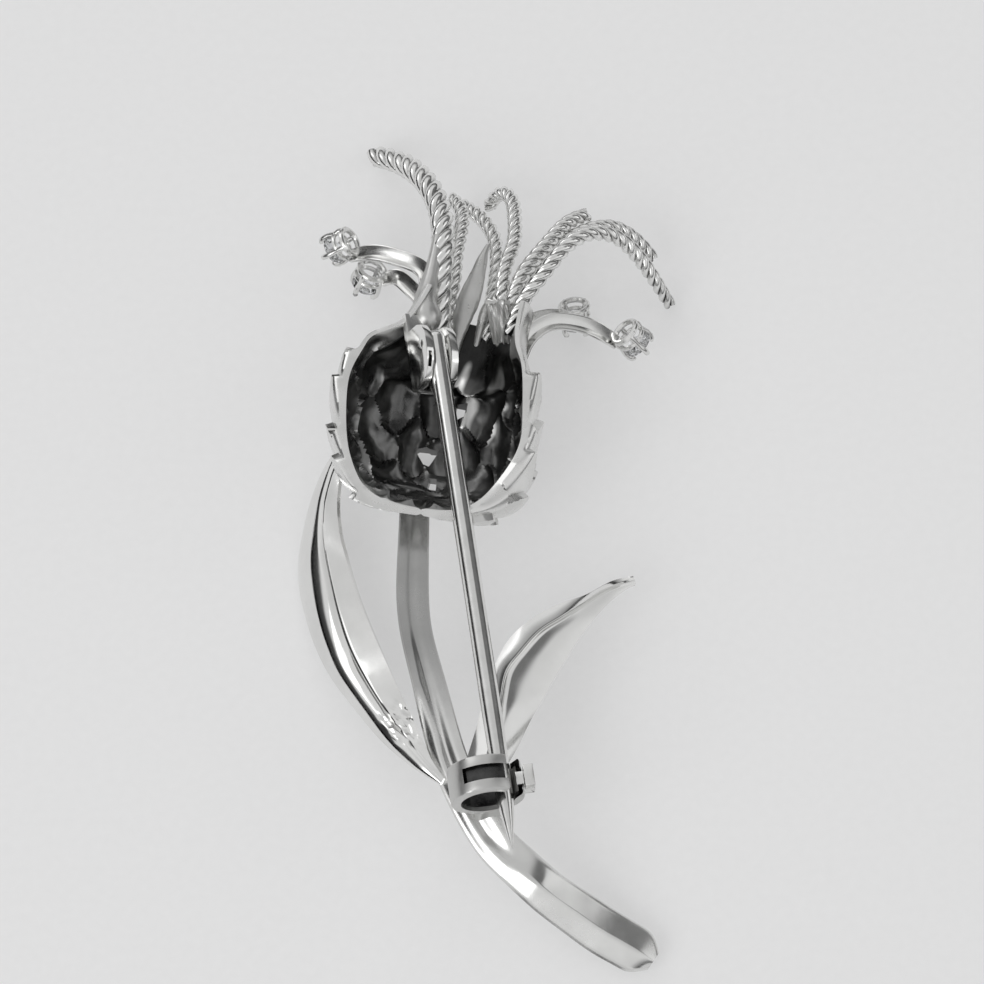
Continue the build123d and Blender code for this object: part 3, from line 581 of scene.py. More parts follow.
def scaleHeight(distance, degrees, scalesRound=calyx["scalesRound"]):
    # share of the full relief, and how the point lies on its scale
    root, blade, tip, lap = 0.1, 0.62, 0.28, 0.3
    lapped = 0.0
    for row in range(calyx["scaleRows"]):
        turn = (degrees / 360 * scalesRound + 0.5 * row) % 1.0
        off = abs(turn - 0.5) * 2
        edge = calyx["firstTip"] + row * calyx["pitch"] - calyx["notch"] * off ** calyx["notchCurve"]
        start = calyx["firstTip"] + (row - 1) * calyx["pitch"] - calyx["notch"]
        if distance < edge:
            rise = min(max((distance - start) / (edge - start), 0), 1)
            return root + blade * rise + tip * rise * (1 - off), off, rise
        lapped = distance - edge
    return max(0.0, lap - lapped), 0.5, 1.0


def scaleRelief(distance, degrees, rimFade):
    # how far the scales stand out; they fade towards the stem and the rim
    fadeOver, leastFade = 1.5, 0.3
    share = scaleHeight(distance, degrees)[0]
    sideways = abs(math.cos(math.radians(degrees)))
    proud = share * (calyx["proudUnder"] + (calyx["proudSide"] - calyx["proudUnder"]) * sideways**2)
    return proud * (min(1.0, distance / fadeOver) * (leastFade + (1 - leastFade) * rimFade))


def plateRelief(distance, degrees, rimFade):
    # place of the inner face against the plain wall, and how much it is painted lighter between the plates
    # and at the rim, partly as wear and partly as painted highlight
    c = calyx
    fadeIn, fadeOut, leastFade, ridgeSide, ridgeEnd = 3.0, 5.0, 0.2, 2.6, 3
    where = Vector((degrees * c["perDegree"], distance, 3.0))
    warpedDistance = distance + c["warp"] * noise.noise(where * c["warpGrain"])
    shifted = noise.noise(where * c["warpGrain"] + Vector((5, 9, 1)))
    warpedDegrees = degrees + c["warpTurn"] * c["warp"] * shifted
    warpedDistance = warpedDistance * c["plateStretch"] + c["plateShift"]
    _, off, rise = scaleHeight(warpedDistance, warpedDegrees, c["platesRound"])
    fold = max(off**ridgeSide, (2 * abs(rise - 0.5)) ** ridgeEnd)
    fade = min(1.0, distance / fadeIn) * min(1.0, max(leastFade, (profileLength - distance) / fadeOut))
    uneven = 0.5 + noise.noise(where * c["dishGrain"] + Vector((2, 3, 7)))
    deep = c["dishLeast"] + c["dishSpread"] * uneven
    dent = c["dent"] * noise.noise(where * c["dentGrain"]) * fade
    proud = -c["wall"] - c["dish"] * deep * fold * fade + dent
    patchy = noise.noise(where * c["wornSheenGrain"] + Vector((8, 1, 4)))
    wornAndSheen = fold * fade * (c["wornSheenLeast"] + c["wornSheenSpread"] * patchy)
    return -c["rimWall"] + (proud + c["rimWall"]) * rimFade, max(wornAndSheen, 1 - rimFade)


def calyxPoint(distance, across, outside):
    # across runs from -1, the right rim, through 0, under the bowl, to 1, the left rim
    station, radius, bow, normal = profileAt(distance)
    middle = max((radius - calyx["wall"] / 2) * calyx["flat"], 0.05)
    reach = 90 + math.degrees(math.asin(min(1.0, calyx["rimAbove"] / middle)))
    degrees = -90 - across * reach
    turn = math.radians(degrees)
    rimFade = min(1.0, (1 - abs(across)) * calyx["scaleFade" if outside else "plateFade"])
    if outside:
        proud, wornAndSheen = scaleRelief(distance, degrees, rimFade), 0.0
    else:
        proud, wornAndSheen = plateRelief(distance, degrees, rimFade)
    if across < 0:
        part = max(0.0, 1 - abs(distance - calyx["leanInAt"]) / calyx["leanInReach"])
        edge = max(0.0, (abs(across) - calyx["leanInFrom"]) / calyx["leanInOver"])
        proud -= calyx["leanIn"] * part * part * (3 - 2 * part) * edge * edge
    station += normal[0] * proud
    radius = max(radius + normal[1] * proud, 0.03)
    aside = calyxSide * (radius * math.cos(turn) + bow)
    height = radius * calyx["flat"] * math.sin(turn)
    # below the rim the stem end is tucked in
    below = max(calyx["rimAbove"] - height, 0.0)
    station += calyx["tuck"] * below * max(1 - distance / calyx["tuckReach"], 0.0)
    p = calyxCentre + calyxAxis * station + aside + Vector((0, 0, height))
    inset = 0.02
    top = calyxCentre.z + calyx["rimAbove"] - (0 if outside else inset)
    p.z = min(max(p.z, inset), top)
    if not outside:
        # the neck's floor is painted lighter in streaks
        (x, y), over = calyx["streakFrom"], calyx["streakOver"]
        streak = clamped((p.y - y) / over) * clamped((p.x - x) / over)
        patchy = noise.noise(Vector([a * b for a, b in zip(p, calyx["streakGrain"])]))
        wornAndSheen = max(wornAndSheen, streak * (calyx["streakLeast"] + calyx["streakSpread"] * patchy))
    return p, wornAndSheen


def makeCalyx():
    columns = calyx["columns"]
    verts, faces, inside, wornAndSheenShares = [], [], [], []
    layers = ((True, calyx["rows"]), (False, calyx["insideRows"]))
    starts = []
    for outside, rows in layers:
        starts.append(len(verts))
        for r in range(rows):
            distance = profileLength * r / (rows - 1)
            for c in range(columns):
                point, ridge = calyxPoint(distance, 2 * c / (columns - 1) - 1, outside)
                verts.append(point)
                wornAndSheenShares.append(ridge)
    for (outside, rows), start in zip(layers, starts):
        for r in range(rows - 1):
            for c in range(columns - 1):
                a = start + r * columns + c
                faces.append((a, a + 1, a + columns + 1, a + columns))
                inside.append(not outside)
        centre = len(verts)
        verts.append(sum((verts[start + c] for c in range(columns)), Vector()) / columns)
        wornAndSheenShares.append(0.0)
        for c in range(columns - 1):
            faces.append((start + c, start + c + 1, centre))
            inside.append(not outside)
    # neck end, then the two rims, whose inner and outer rows differ in number
    outEnd, inEnd = (start + (rows - 1) * columns for start, (_, rows) in zip(starts, layers))
    for c in range(columns - 1):
        faces.append((outEnd + c, outEnd + c + 1, inEnd + c + 1, inEnd + c))
        inside.append(False)
    for c in (0, columns - 1):
        outer = [starts[0] + r * columns + c for r in range(calyx["rows"])]
        inner = [starts[1] + r * columns + c for r in range(calyx["insideRows"])]
        i = j = 0
        while i < len(outer) - 1 or j < len(inner) - 1:
            if j == len(inner) - 1 or (i < len(outer) - 1 and i / len(outer) <= j / len(inner)):
                faces.append((outer[i], outer[i + 1], inner[j]))
                i += 1
            else:
                faces.append((outer[i], inner[j + 1], inner[j]))
                j += 1
            inside.append(False)
    mesh = bpy.data.meshes.new("calyxShell")
    mesh.from_pydata([v * millimetre for v in verts], [], faces)
    wornAndSheen = mesh.attributes.new("wornAndSheen", "FLOAT", "POINT")
    wornAndSheen.data.foreach_set("value", np.array(wornAndSheenShares, dtype=np.float32))
    mesh.materials.append(metals["scaleMetal"])
    mesh.materials.append(metals["bowlMetal"])
    mesh.polygons.foreach_set("material_index", [int(dark) for dark in inside])
    outward(mesh, 0.004, 0.0005)
    shell = linked("calyxShell", mesh)
    cutters = []
    for along, side, corners in calyxGaps:
        middle = calyxCentre + calyxAxis * along + calyxSide * side
        cutters.append(skin([
            [Vector((middle.x, middle.y, height)) + calyxSide * a + calyxAxis * b for a, b in corners]
            for height in (calyx["gapFrom"], calyx["gapTo"])
        ]))
    combine(shell, [rawPiece("gapCutter", joined(cutters), metals["bowlMetal"])], "DIFFERENCE")
    shadeByAngle(shell.data, 35)
    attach(shell, "brooch")
    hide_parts("calyx")


makeCalyx()
print("calyx made")

# where the pin lies, and its rows of distance from the rivet and radius
pin = {
    "origin": (-3.51, 11.07, 9.45), "turnIn": 8.1, "sides": 40,
    "rows": [(-1.0, 0.3), (-0.97, 0.45), (-0.88, 0.56), (-0.72, 0.625), (-0.5, 0.655), (13.5, 0.655),
             (26.5, 0.655), (29.0, 0.61), (32.2, 0.57), (33.2, 0.44), (34.3, 0.26), (35.2, 0.1),
             (35.6, 0.03)],
}
pinTurn = math.radians(pin["turnIn"])
pinAlong = Vector((math.sin(pinTurn), -math.cos(pinTurn), 0))
pinRight = Vector((math.cos(pinTurn), math.sin(pinTurn), 0))
pinOrigin = Vector(pin["origin"])

# Hinge: two ears on a strip, the rivet and the solder that holds the strip in the neck
hinge = {
    "tilt": 30.0, "gap": 1.4, "plate": 0.5, "behind": 1.5, "length": 4.2, "rise": 0.75,
    "stripTop": 1.3, "strip": 0.5, "toNeck": 1.4, "rivet": 0.3, "head": 0.1, "bevel": 0.08,
}
# rows of place and radius, from the ears up along the left rope
neckMass = [
    (-4.02, 12.9, 7.7, 0.35), (-4.05, 13.4, 7.75, 0.78), (-4.28, 14.8, 7.75, 0.86), (-4.05, 16.4, 7.7, 0.6),
    (-3.66, 18.5, 7.75, 0.42), (-3.4, 21.1, 7.5, 0.24), (-3.42, 22.0, 7.25, 0.08),
]


def makeHinge():
    h = hinge
    tilt = math.radians(h["tilt"])
    rivetAxis = pinRight * math.cos(tilt) - Vector((0, 0, math.sin(tilt)))
    place = planeAt(pinOrigin, pinAlong, rivetAxis)
    front = h["length"] - h["behind"]
    behind, rise, top = h["behind"], h["rise"], h["stripTop"]
    outline = [
        (-behind, top + 0.1), (-behind, 0.15), (-behind * 0.85, -rise * 0.5), (-rise * 0.9, -rise * 0.95),
        (rise * 0.6, -rise), (rise * 1.6, -rise * 0.8), (front * 0.85, -rise * 0.1), (front, top - rise),
        (front, top + 0.1),
    ]
    parts = []
    for side in (-1, 1):
        start = side * h["gap"] / 2 - (h["plate"] if side < 0 else 0)
        parts.append(prism("ear", outline, start, start + h["plate"], place))
    half = h["gap"] / 2 + h["plate"]
    strip = box("hingeStrip", place, (front - h["length"] - h["toNeck"], front),
                (top, top + h["strip"]), (-half, half))
    combine(strip, parts, "UNION")
    slot = box("earSlot", place, (0.75, 1.75), (-2, 0.5), (-half + 0.12, -h["gap"] / 2 - 0.14))
    combine(strip, [slot], "DIFFERENCE")
    finished(strip, metals["polishedMetal"], bevel=h["bevel"])
    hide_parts("calyx")
    r, e = h["rivet"], h["head"]
    head = [(r, half), (r * 1.15, half), (r * 1.15, half + e * 0.3), (r * 0.7, half + e * 0.9),
            (0.001, half + e)]
    rivet = turnedSolid("rivet", [(radius, -at) for radius, at in reversed(head)] + head, place, 32)
    finished(rivet, metals["satinMetal"])
    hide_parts("hinge_rivet")
    # smooth solder between the strip and the left wall of the neck
    mass = tube([tuple(r) for r in smoothRows(neckMass, 40)], 28)
    solder = newPiece("neckSolder", mass, metals["smoothSolder"], smoothAngle=60)
    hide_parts("calyx")


makeHinge()
print("hinge made")

# Bristles: strands wound round a smooth line, by Geometry Nodes
neckMouth = calyxCentre + calyxAxis * (calyx["length"] * (1 - calyx["bottomShare"]) - 0.2)
spray = {"side": 12.5, "up": 14.0, "height": 7.5}


def sprayPoint(row, reach):
    # sideways and up from the mouth of the neck, and height over the table, as shares of the reach
    side, up, height = (share * reach[key] for share, key in zip(row, ("side", "up", "height")))
    return neckMouth.x + side, neckMouth.y + up, height


def twistedWireTree():
    tree, source, sink = addGroup("twistedWire", "GeometryNodeTree", [
        ("Geometry", "Geometry", None), ("Strands", "Int", 2), ("Strand Radius", "Float", 0.00027),
        ("Lay Radius", "Float", 0.00023), ("Pitch", "Float", 0.0015), ("Tip Taper", "Float", 0.35),
        ("Finish", "Material", None),
    ], [("Geometry", "Geometry")])
    stepsPerPitch, strandSides, taperFrom = 14.0, 10, 0.75
    step = addMaths(tree, "DIVIDE", source["Pitch"], stepsPerPitch)
    line = addNode(tree, "GeometryNodeResampleCurve", {
        "Curve": source["Geometry"], "Length": step}, mode="LENGTH")
    copies = addNode(tree, "GeometryNodeDuplicateElements", {
        "Geometry": line.outputs["Curve"], "Amount": source["Strands"]}, domain="SPLINE").outputs
    share = addNode(tree, "GeometryNodeSplineParameter").outputs
    turns = addMaths(tree, "DIVIDE", share["Length"], source["Pitch"])
    apart = addMaths(tree, "DIVIDE", copies["Duplicate Index"], source["Strands"])
    angle = addMaths(tree, "MULTIPLY", addMaths(tree, "ADD", turns, apart), 2 * math.pi)
    taper = addNode(tree, "ShaderNodeMapRange", {
        "Value": share["Factor"], "From Min": taperFrom, "From Max": 1.0, "To Min": 1.0,
        "To Max": addMaths(tree, "SUBTRACT", 1.0, source["Tip Taper"])}).outputs["Result"]
    lay = addMaths(tree, "MULTIPLY", source["Lay Radius"], taper)
    normal = addNode(tree, "GeometryNodeInputNormal").outputs["Normal"]
    tangent = addNode(tree, "GeometryNodeInputTangent").outputs["Tangent"]
    cross = addNode(tree, "ShaderNodeVectorMath", {0: tangent, 1: normal}, operation="CROSS_PRODUCT")
    parts = []
    for vector, wave in ((normal, "COSINE"), (cross.outputs["Vector"], "SINE")):
        size = addMaths(tree, "MULTIPLY", lay, addMaths(tree, wave, angle))
        part = addNode(tree, "ShaderNodeVectorMath", {0: vector, "Scale": size}, operation="SCALE")
        parts.append(part.outputs["Vector"])
    shift = addNode(tree, "ShaderNodeVectorMath", dict(enumerate(parts)), operation="ADD")
    moved = addNode(tree, "GeometryNodeSetPosition", {
        "Geometry": copies["Geometry"], "Offset": shift.outputs["Vector"]})
    sized = addNode(tree, "GeometryNodeSetCurveRadius", {"Curve": moved.outputs["Geometry"], "Radius": taper})
    ring = addNode(tree, "GeometryNodeCurvePrimitiveCircle", {
        "Resolution": strandSides, "Radius": source["Strand Radius"]})
    strands = addNode(tree, "GeometryNodeCurveToMesh", {
        "Curve": sized.outputs["Curve"], "Profile Curve": ring.outputs["Curve"], "Fill Caps": True})
    if "Scale" in strands.inputs:
        feed(tree, strands, {"Scale": taper})
    real = addNode(tree, "GeometryNodeRealizeInstances", {"Geometry": strands.outputs["Mesh"]})
    painted = addNode(tree, "GeometryNodeSetMaterial", {
        "Geometry": real.outputs["Geometry"], "Material": source["Finish"]})
    feed(tree, sink, {"Geometry": painted.outputs["Geometry"]})
    return tree


bristles = {
    "bristle_far_left": {"thick": 1.68, "strands": 3, "pitch": 3.4, "taper": 0.1, "rows": [
        (-0.135, -0.16, 0.70), (-0.135, 0.00, 0.82), (-0.125, 0.16, 0.96), (-0.115, 0.31, 1.00),
        (-0.135, 0.50, 0.93), (-0.205, 0.69, 0.74), (-0.350, 0.89, 0.42), (-0.500, 1.01, 0.13)]},
    "bristle_mid_left": {"thick": 1.06, "strands": 3, "pitch": 2.3, "taper": 0.05, "rows": [
        (-0.08, -0.09, 0.46), (-0.09, 0.07, 0.60), (-0.06, 0.19, 0.67), (-0.05, 0.31, 0.67),
        (-0.03, 0.44, 0.61), (-0.02, 0.60, 0.51), (-0.07, 0.72, 0.33)]},
    "bristle_low_mid": {"thick": 1.06, "strands": 3, "pitch": 2.3, "taper": 0.05, "rows": [
        (0.12, -0.08, 0.45), (0.15, 0.16, 0.48), (0.17, 0.30, 0.45), (0.17, 0.41, 0.43),
        (0.14, 0.54, 0.35), (0.06, 0.66, 0.24), (-0.01, 0.74, 0.12)]},
    "bristle_hook": {"thick": 1.06, "strands": 3, "pitch": 2.3, "taper": 0.05, "rows": [
        (0.17, -0.11, 0.69), (0.20, 0.10, 0.80), (0.22, 0.24, 0.80), (0.26, 0.35, 0.77), (0.27, 0.51, 0.69),
        (0.26, 0.63, 0.59), (0.22, 0.71, 0.48), (0.17, 0.73, 0.35), (0.13, 0.71, 0.20)]},
    "bristle_mid_right": {"thick": 1.1, "strands": 3, "pitch": 2.3, "taper": 0.05, "rows": [
        (0.23, -0.10, 0.86), (0.26, 0.04, 0.88), (0.30, 0.15, 0.88), (0.38, 0.27, 0.84),
        (0.47, 0.39, 0.77), (0.57, 0.51, 0.67), (0.66, 0.57, 0.56)]},
    "bristle_far_right": {"thick": 1.1, "strands": 3, "pitch": 2.5, "taper": 0.2, "rows": [
        (0.24, -0.15, 0.90), (0.28, -0.05, 0.96), (0.33, 0.03, 1.00), (0.42, 0.13, 1.05), (0.52, 0.25, 1.06),
        (0.68, 0.37, 0.96), (0.82, 0.39, 0.80), (0.94, 0.34, 0.59), (1.05, 0.26, 0.31), (1.12, 0.21, 0.09)]},
    "bristle_behind": {"thick": 0.98, "strands": 3, "pitch": 2.2, "taper": 0.1, "rows": [
        (0.26, -0.12, 0.65), (0.30, 0.04, 0.74), (0.34, 0.14, 0.75), (0.42, 0.27, 0.72), (0.54, 0.40, 0.67),
        (0.69, 0.50, 0.56), (0.82, 0.54, 0.43), (0.95, 0.50, 0.29), (1.03, 0.44, 0.16)]},
}
bristleStrand = 0.245  # radius of a strand as a share of the rope's thickness


def makeBristles():
    tree = twistedWireTree()
    sockets = {item.name: item.identifier for item in tree.interface.items_tree if item.in_out == "INPUT"}
    for name, wire in bristles.items():
        line = smoothRows([sprayPoint(r, spray) for r in wire["rows"]], 80)
        curve = bpy.data.curves.new(name + "Line", "CURVE")
        curve.dimensions = "3D"
        spline = curve.splines.new("POLY")
        spline.points.add(len(line) - 1)
        for point, place in zip(spline.points, line):
            point.co = (*(place * millimetre), 1)
        piece = linked(name + "Wire", curve)
        nodes = piece.modifiers.new("wire", "NODES")
        nodes.node_group = tree
        strand = wire["thick"] * bristleStrand
        for label, value in (
            ("Strands", wire["strands"]), ("Strand Radius", strand * millimetre),
            ("Lay Radius", (wire["thick"] / 2 - strand) * millimetre), ("Pitch", wire["pitch"] * millimetre),
            ("Tip Taper", wire["taper"]), ("Finish", metals["ropeMetal"]),
        ):
            nodes[sockets[label]] = value
        graph = bpy.context.evaluated_depsgraph_get()
        graph.update()
        mesh = bpy.data.meshes.new_from_object(piece.evaluated_get(graph))
        bpy.data.objects.remove(piece)
        # how far each point lies off the rope's middle, for the painted shade in the gaps between the strands
        at = np.empty(len(mesh.vertices) * 3)
        mesh.vertices.foreach_get("co", at)
        at = at.reshape(-1, 3) / millimetre
        dense = smoothRows([tuple(p) for p in line], 500)
        off = np.array([np.sqrt(((dense - p) ** 2).sum(axis=1).min()) for p in at]) / (wire["thick"] / 2)
        mesh.attributes.new("offMiddle", "FLOAT", "POINT").data.foreach_set("value", off.astype(np.float32))
        solid = linked(name + "Rope", mesh)
        shadeByAngle(mesh, 50)
        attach(solid, "brooch")
        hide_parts(name)


makeBristles()
print("bristles made")

# Stem: a channel with thin lips
stem = {
    "side": 10.0, "length": 29.4, "height": 6.2, "width": 3.2, "wall": 0.42, "depth": 0.5, "stations": 150,
    "ridgeFrom": 0.93, "ridgeFull": 1.03, "ridge": 0.3, "shoulder": 0.3, "flat": 0.14, "hollow": 0.7,
    "deepFrom": 0.45, "deepOver": 0.3, "fallFrom": 0.58, "fallOver": 0.14, "leftFall": 0.95,
    "endFrom": 0.965, "endOver": 0.035, "endRound": 0.6, "endLeast": 0.05, "shoulderLeast": 0.2,
    "shoulderEase": 0.6, "leftEase": 0.6, "underLeft": 0.25, "crest": 0.1, "sectionPoints": 25,
    "origin": (-3.51, 5.67), "rows": [
        (-0.143, 0.170, 0.965, 0.62), (-0.150, 0.280, 1.000, 0.65),
        (-0.152, 0.365, 1.000, 0.67), (-0.131, 0.454, 1.000, 0.66), (-0.064, 0.554, 1.000, 0.68),
        (0.012, 0.658, 1.000, 0.71), (0.118, 0.781, 0.984, 0.73), (0.254, 0.875, 0.935, 0.77),
        (0.402, 0.948, 0.855, 0.81), (0.557, 0.996, 0.742, 0.86), (0.725, 1.042, 0.613, 0.90),
        (0.913, 1.080, 0.468, 0.95), (1.095, 1.116, 0.347, 0.99), (1.250, 1.143, 0.275, 0.98),
        (1.350, 1.162, 0.235, 0.88), (1.418, 1.177, 0.215, 0.60)],
}


# how the section of a channel is drawn, for the stem and for the straps of the stamens
channel = {
    "lip": 0.25, "inner": 0.55, "lipRound": 0.6, "valleyCurve": 1.25, "valleyBlend": 0.7, "valleyWidth": 0.42,
    "shoulder": 0.5, "shoulderCurve": 3, "left": 0.86, "leftLip": 0.93, "leftFrom": 0.2, "leftCurve": 1.2,
    "backPoints": 12,
}


def channelSection(width, depth, wall, hollow=1.0, crest=0.0, points=9, shoulder=0.0, left=0.0):
    # lip, hollow or ridge and lip above, then a round back below
    # shoulder rounds the lips over, left lowers the left one
    c = channel
    half, lip = width / 2, wall * c["lip"]
    inner = half - wall * c["inner"]
    middle = (wall - depth) * hollow
    curve = c["valleyCurve"] if hollow > 0 else 1.0
    blend = c["valleyBlend"] if hollow > 0 and shoulder else 0.0  # share of a narrow valley in the wide one
    top = [(-half, -lip - shoulder), (-half + lip, -shoulder * c["lipRound"])]
    for k in range(points):
        share = 2 * k / (points - 1) - 1
        slope = (share - crest) / (1 - crest if share > crest else 1 + crest)
        wide = 1 - abs(slope) ** curve
        narrow = math.exp(-((slope / c["valleyWidth"]) ** 2))
        leftward = max(0.0, (share - c["leftFrom"]) / (1 - c["leftFrom"])) ** c["leftCurve"]
        fall = shoulder * c["shoulder"] * abs(share) ** c["shoulderCurve"] + left * c["left"] * leftward
        top.append((inner * share, middle * (wide * (1 - blend) + narrow * blend) - fall))
    top += [(half - lip, -shoulder * c["lipRound"] - left * c["leftLip"]), (half, -lip - shoulder - left)]
    back = []
    for k in range(1, c["backPoints"]):
        turn = math.pi * k / c["backPoints"]
        low = lip + shoulder + left * (0.5 + 0.5 * math.cos(turn))
        back.append((half * math.cos(turn), -low - (depth - low) * math.sin(turn)))
    return top + back


def makeStem():
    s = stem
    x, y = s["origin"]
    rows = smoothRows([
        (x + a * s["side"], y - b * s["length"], c * s["height"], w * s["width"]) for a, b, c, w in s["rows"]
    ], s["stations"])
    sections = []
    for i, row in enumerate(rows):
        share = i / (len(rows) - 1)
        width = row[3]
        if share > s["endFrom"]:  # the end is rounded
            past = (share - s["endFrom"]) / s["endOver"]
            width *= math.sqrt(max(s["endLeast"], 1 - past**2 * s["endRound"]))
        # going down, the valley gets deeper, the left lip lower, and the last part is a ridge
        down = (y - row[1]) / s["length"]
        deeper = clamped((down - s["deepFrom"]) / s["deepOver"])
        ridge = clamped((down - s["ridgeFrom"]) / (s["ridgeFull"] - s["ridgeFrom"]))
        fallen = clamped((down - s["fallFrom"]) / s["fallOver"])
        hollow = s["flat"] + (s["hollow"] - s["flat"]) * deeper - (s["hollow"] + s["ridge"]) * ridge
        rounded = s["shoulder"] * (s["shoulderLeast"] + (1 - s["shoulderLeast"]) * deeper)
        rounded = rounded * (1 - ridge) * (1 - s["shoulderEase"] * fallen)
        depth = width * s["depth"]
        left = min(s["leftFall"] * fallen * (1 - s["leftEase"] * ridge), depth - s["underLeft"] - rounded)
        sections.append(channelSection(
            width, depth, s["wall"], hollow, s["crest"], s["sectionPoints"], rounded, left))
    shape = sweep([r[:3] for r in rows], sections)
    piece = newPiece("stemChannel", shape, metals["stemMetal"], smoothAngle=24)
    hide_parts("stem")


makeStem()
print("stem made")

# Leaves: folded sheet with a rounded half on each side of the fold
leaf = {
    "side": 10.0, "length": 23.0, "height": 6.0, "wall": 0.34, "origin": (-3.51, 5.67), "stations": 110,
    "across": 16, "crease": 0.11, "creaseReach": 0.2, "wave": 0.03, "waveGrain": 0.35,
}
leafLines = {
    "left": {
        "solder": {"at": (-5.4, -13.9, 4.9), "reach": 1.9, "rough": 0.16, "grain": 3.1},
        "bulge": (0.15, 0.0), "outer": [
            (-0.645, 0.026, 0.817), (-0.706, -0.012, 0.700), (-0.769, -0.046, 0.500),
            (-0.844, -0.114, 0.283), (-0.898, -0.191, 0.150), (-0.929, -0.274, 0.100),
            (-0.920, -0.362, 0.100), (-0.876, -0.455, 0.150), (-0.804, -0.561, 0.250),
            (-0.692, -0.674, 0.417), (-0.528, -0.788, 0.583), (-0.347, -0.899, 0.733),
            (-0.150, -0.986, 0.850), (0.033, -1.046, 0.917)],
        "fold": [
            (-0.629, -0.018, 0.867), (-0.676, -0.049, 0.833), (-0.716, -0.089, 0.784),
            (-0.756, -0.156, 0.702), (-0.768, -0.232, 0.618), (-0.747, -0.306, 0.552),
            (-0.705, -0.398, 0.535), (-0.649, -0.504, 0.550), (-0.572, -0.606, 0.600),
            (-0.456, -0.714, 0.700), (-0.329, -0.812, 0.800), (-0.209, -0.893, 0.883),
            (-0.091, -0.964, 0.933), (0.046, -1.037, 0.950)],
        "inner": [
            (-0.608, -0.051, 0.883), (-0.635, -0.075, 0.847), (-0.654, -0.115, 0.781),
            (-0.660, -0.185, 0.698), (-0.638, -0.264, 0.648), (-0.584, -0.346, 0.598),
            (-0.509, -0.448, 0.598), (-0.434, -0.538, 0.645), (-0.346, -0.635, 0.707),
            (-0.251, -0.733, 0.773), (-0.158, -0.826, 0.823), (-0.092, -0.897, 0.893),
            (-0.026, -0.968, 0.930), (0.059, -1.029, 0.958)],
    },
    "right": {
        "bulge": (0.04, -0.07), "outer": [
            (0.163, -1.053, 0.900), (0.208, -0.962, 0.883), (0.253, -0.892, 0.875),
            (0.298, -0.814, 0.850), (0.344, -0.738, 0.817), (0.396, -0.663, 0.800),
            (0.488, -0.586, 0.767), (0.634, -0.520, 0.717), (0.806, -0.471, 0.667),
            (0.985, -0.438, 0.617), (1.166, -0.389, 0.567), (1.307, -0.366, 0.492)],
        "fold": [
            (0.254, -1.068, 0.890), (0.338, -0.973, 0.787), (0.376, -0.907, 0.758),
            (0.416, -0.834, 0.715), (0.442, -0.766, 0.680), (0.481, -0.679, 0.660),
            (0.580, -0.612, 0.625), (0.699, -0.548, 0.580), (0.845, -0.501, 0.540),
            (0.984, -0.457, 0.518), (1.132, -0.412, 0.502), (1.320, -0.376, 0.480)],
        "inner": [
            (0.344, -1.078, 0.883), (0.474, -0.975, 0.833), (0.546, -0.914, 0.792),
            (0.618, -0.837, 0.717), (0.691, -0.773, 0.650), (0.771, -0.703, 0.617),
            (0.864, -0.629, 0.583), (0.951, -0.563, 0.542), (1.038, -0.507, 0.508),
            (1.125, -0.460, 0.500), (1.219, -0.423, 0.500), (1.326, -0.390, 0.483)],
    },
}


def evenRows(rows, count):
    # smooth rows at even steps of the table, so that the three lines of a leaf stay side by side
    rows = np.array(rows, float)
    result = []
    for i in range(count):
        at = i / (count - 1) * (len(rows) - 1)
        k = min(int(at), len(rows) - 2)
        t = at - k
        p, q, r, s = rows[max(k - 1, 0)], rows[k], rows[k + 1], rows[min(k + 2, len(rows) - 1)]
        square, cube = 2 * p - 5 * q + 4 * r - s, 3 * q - p - 3 * r + s
        result.append(0.5 * (2 * q + (r - p) * t + square * t**2 + cube * t**3))
    return np.array(result)


def makeLeaf(name, lines):
    count, (x, y) = leaf["stations"], leaf["origin"]
    edges = []
    for key in ("outer", "fold", "inner"):
        rows = [(x + a * leaf["side"], y + b * leaf["length"], c * leaf["height"]) for a, b, c in lines[key]]
        edges.append([Vector(r) for r in evenRows(rows, count)])
    rings = []
    for i, (a, f, b) in enumerate(zip(*edges)):
        ahead = edges[1][min(i + 1, count - 1)] - edges[1][max(i - 1, 0)]
        up = ahead.cross(b - a).normalized()
        up = up if up.z > 0 else -up
        top = []
        for (low, high), bulge in zip(((a, f), (f, b)), lines["bulge"]):
            broad = (high - low).length
            for k in range(leaf["across"]):
                t = k / leaf["across"]
                near = (1 - t if high is f else t) * broad
                crease = leaf["crease"] * max(0.0, 1 - near / leaf["creaseReach"]) * min(1.0, broad)
                top.append(low.lerp(high, t) + up * (bulge * broad * 4 * t * (1 - t) - crease))
        top.append(b)
        lip = (b - a).normalized() * leaf["wall"] * 0.25
        under = [p - up * leaf["wall"] for p in reversed(top)]
        under[0] -= lip
        under[-1] += lip
        rings.append([p + noise.noise(p * leaf["waveGrain"]) * up * leaf["wave"] for p in top + under])
        patch = lines.get("solder")
        if patch:
            for k in range(leaf["across"] // 2, len(top) - 1):
                near = max(0.0, 1 - (top[k] - Vector(patch["at"])).length / patch["reach"])
                rough = patch["rough"] * min(1.0, near * 3)
                rings[-1][k] += up * rough * noise.noise(top[k] * patch["grain"])
    piece = newPiece("leaf" + name, skin(rings), metals["polishedMetal"], smoothAngle=30)
    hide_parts("leaf_" + name.lower())


makeLeaf("Left", leafLines["left"])
makeLeaf("Right", leafLines["right"])
print("leaves made")

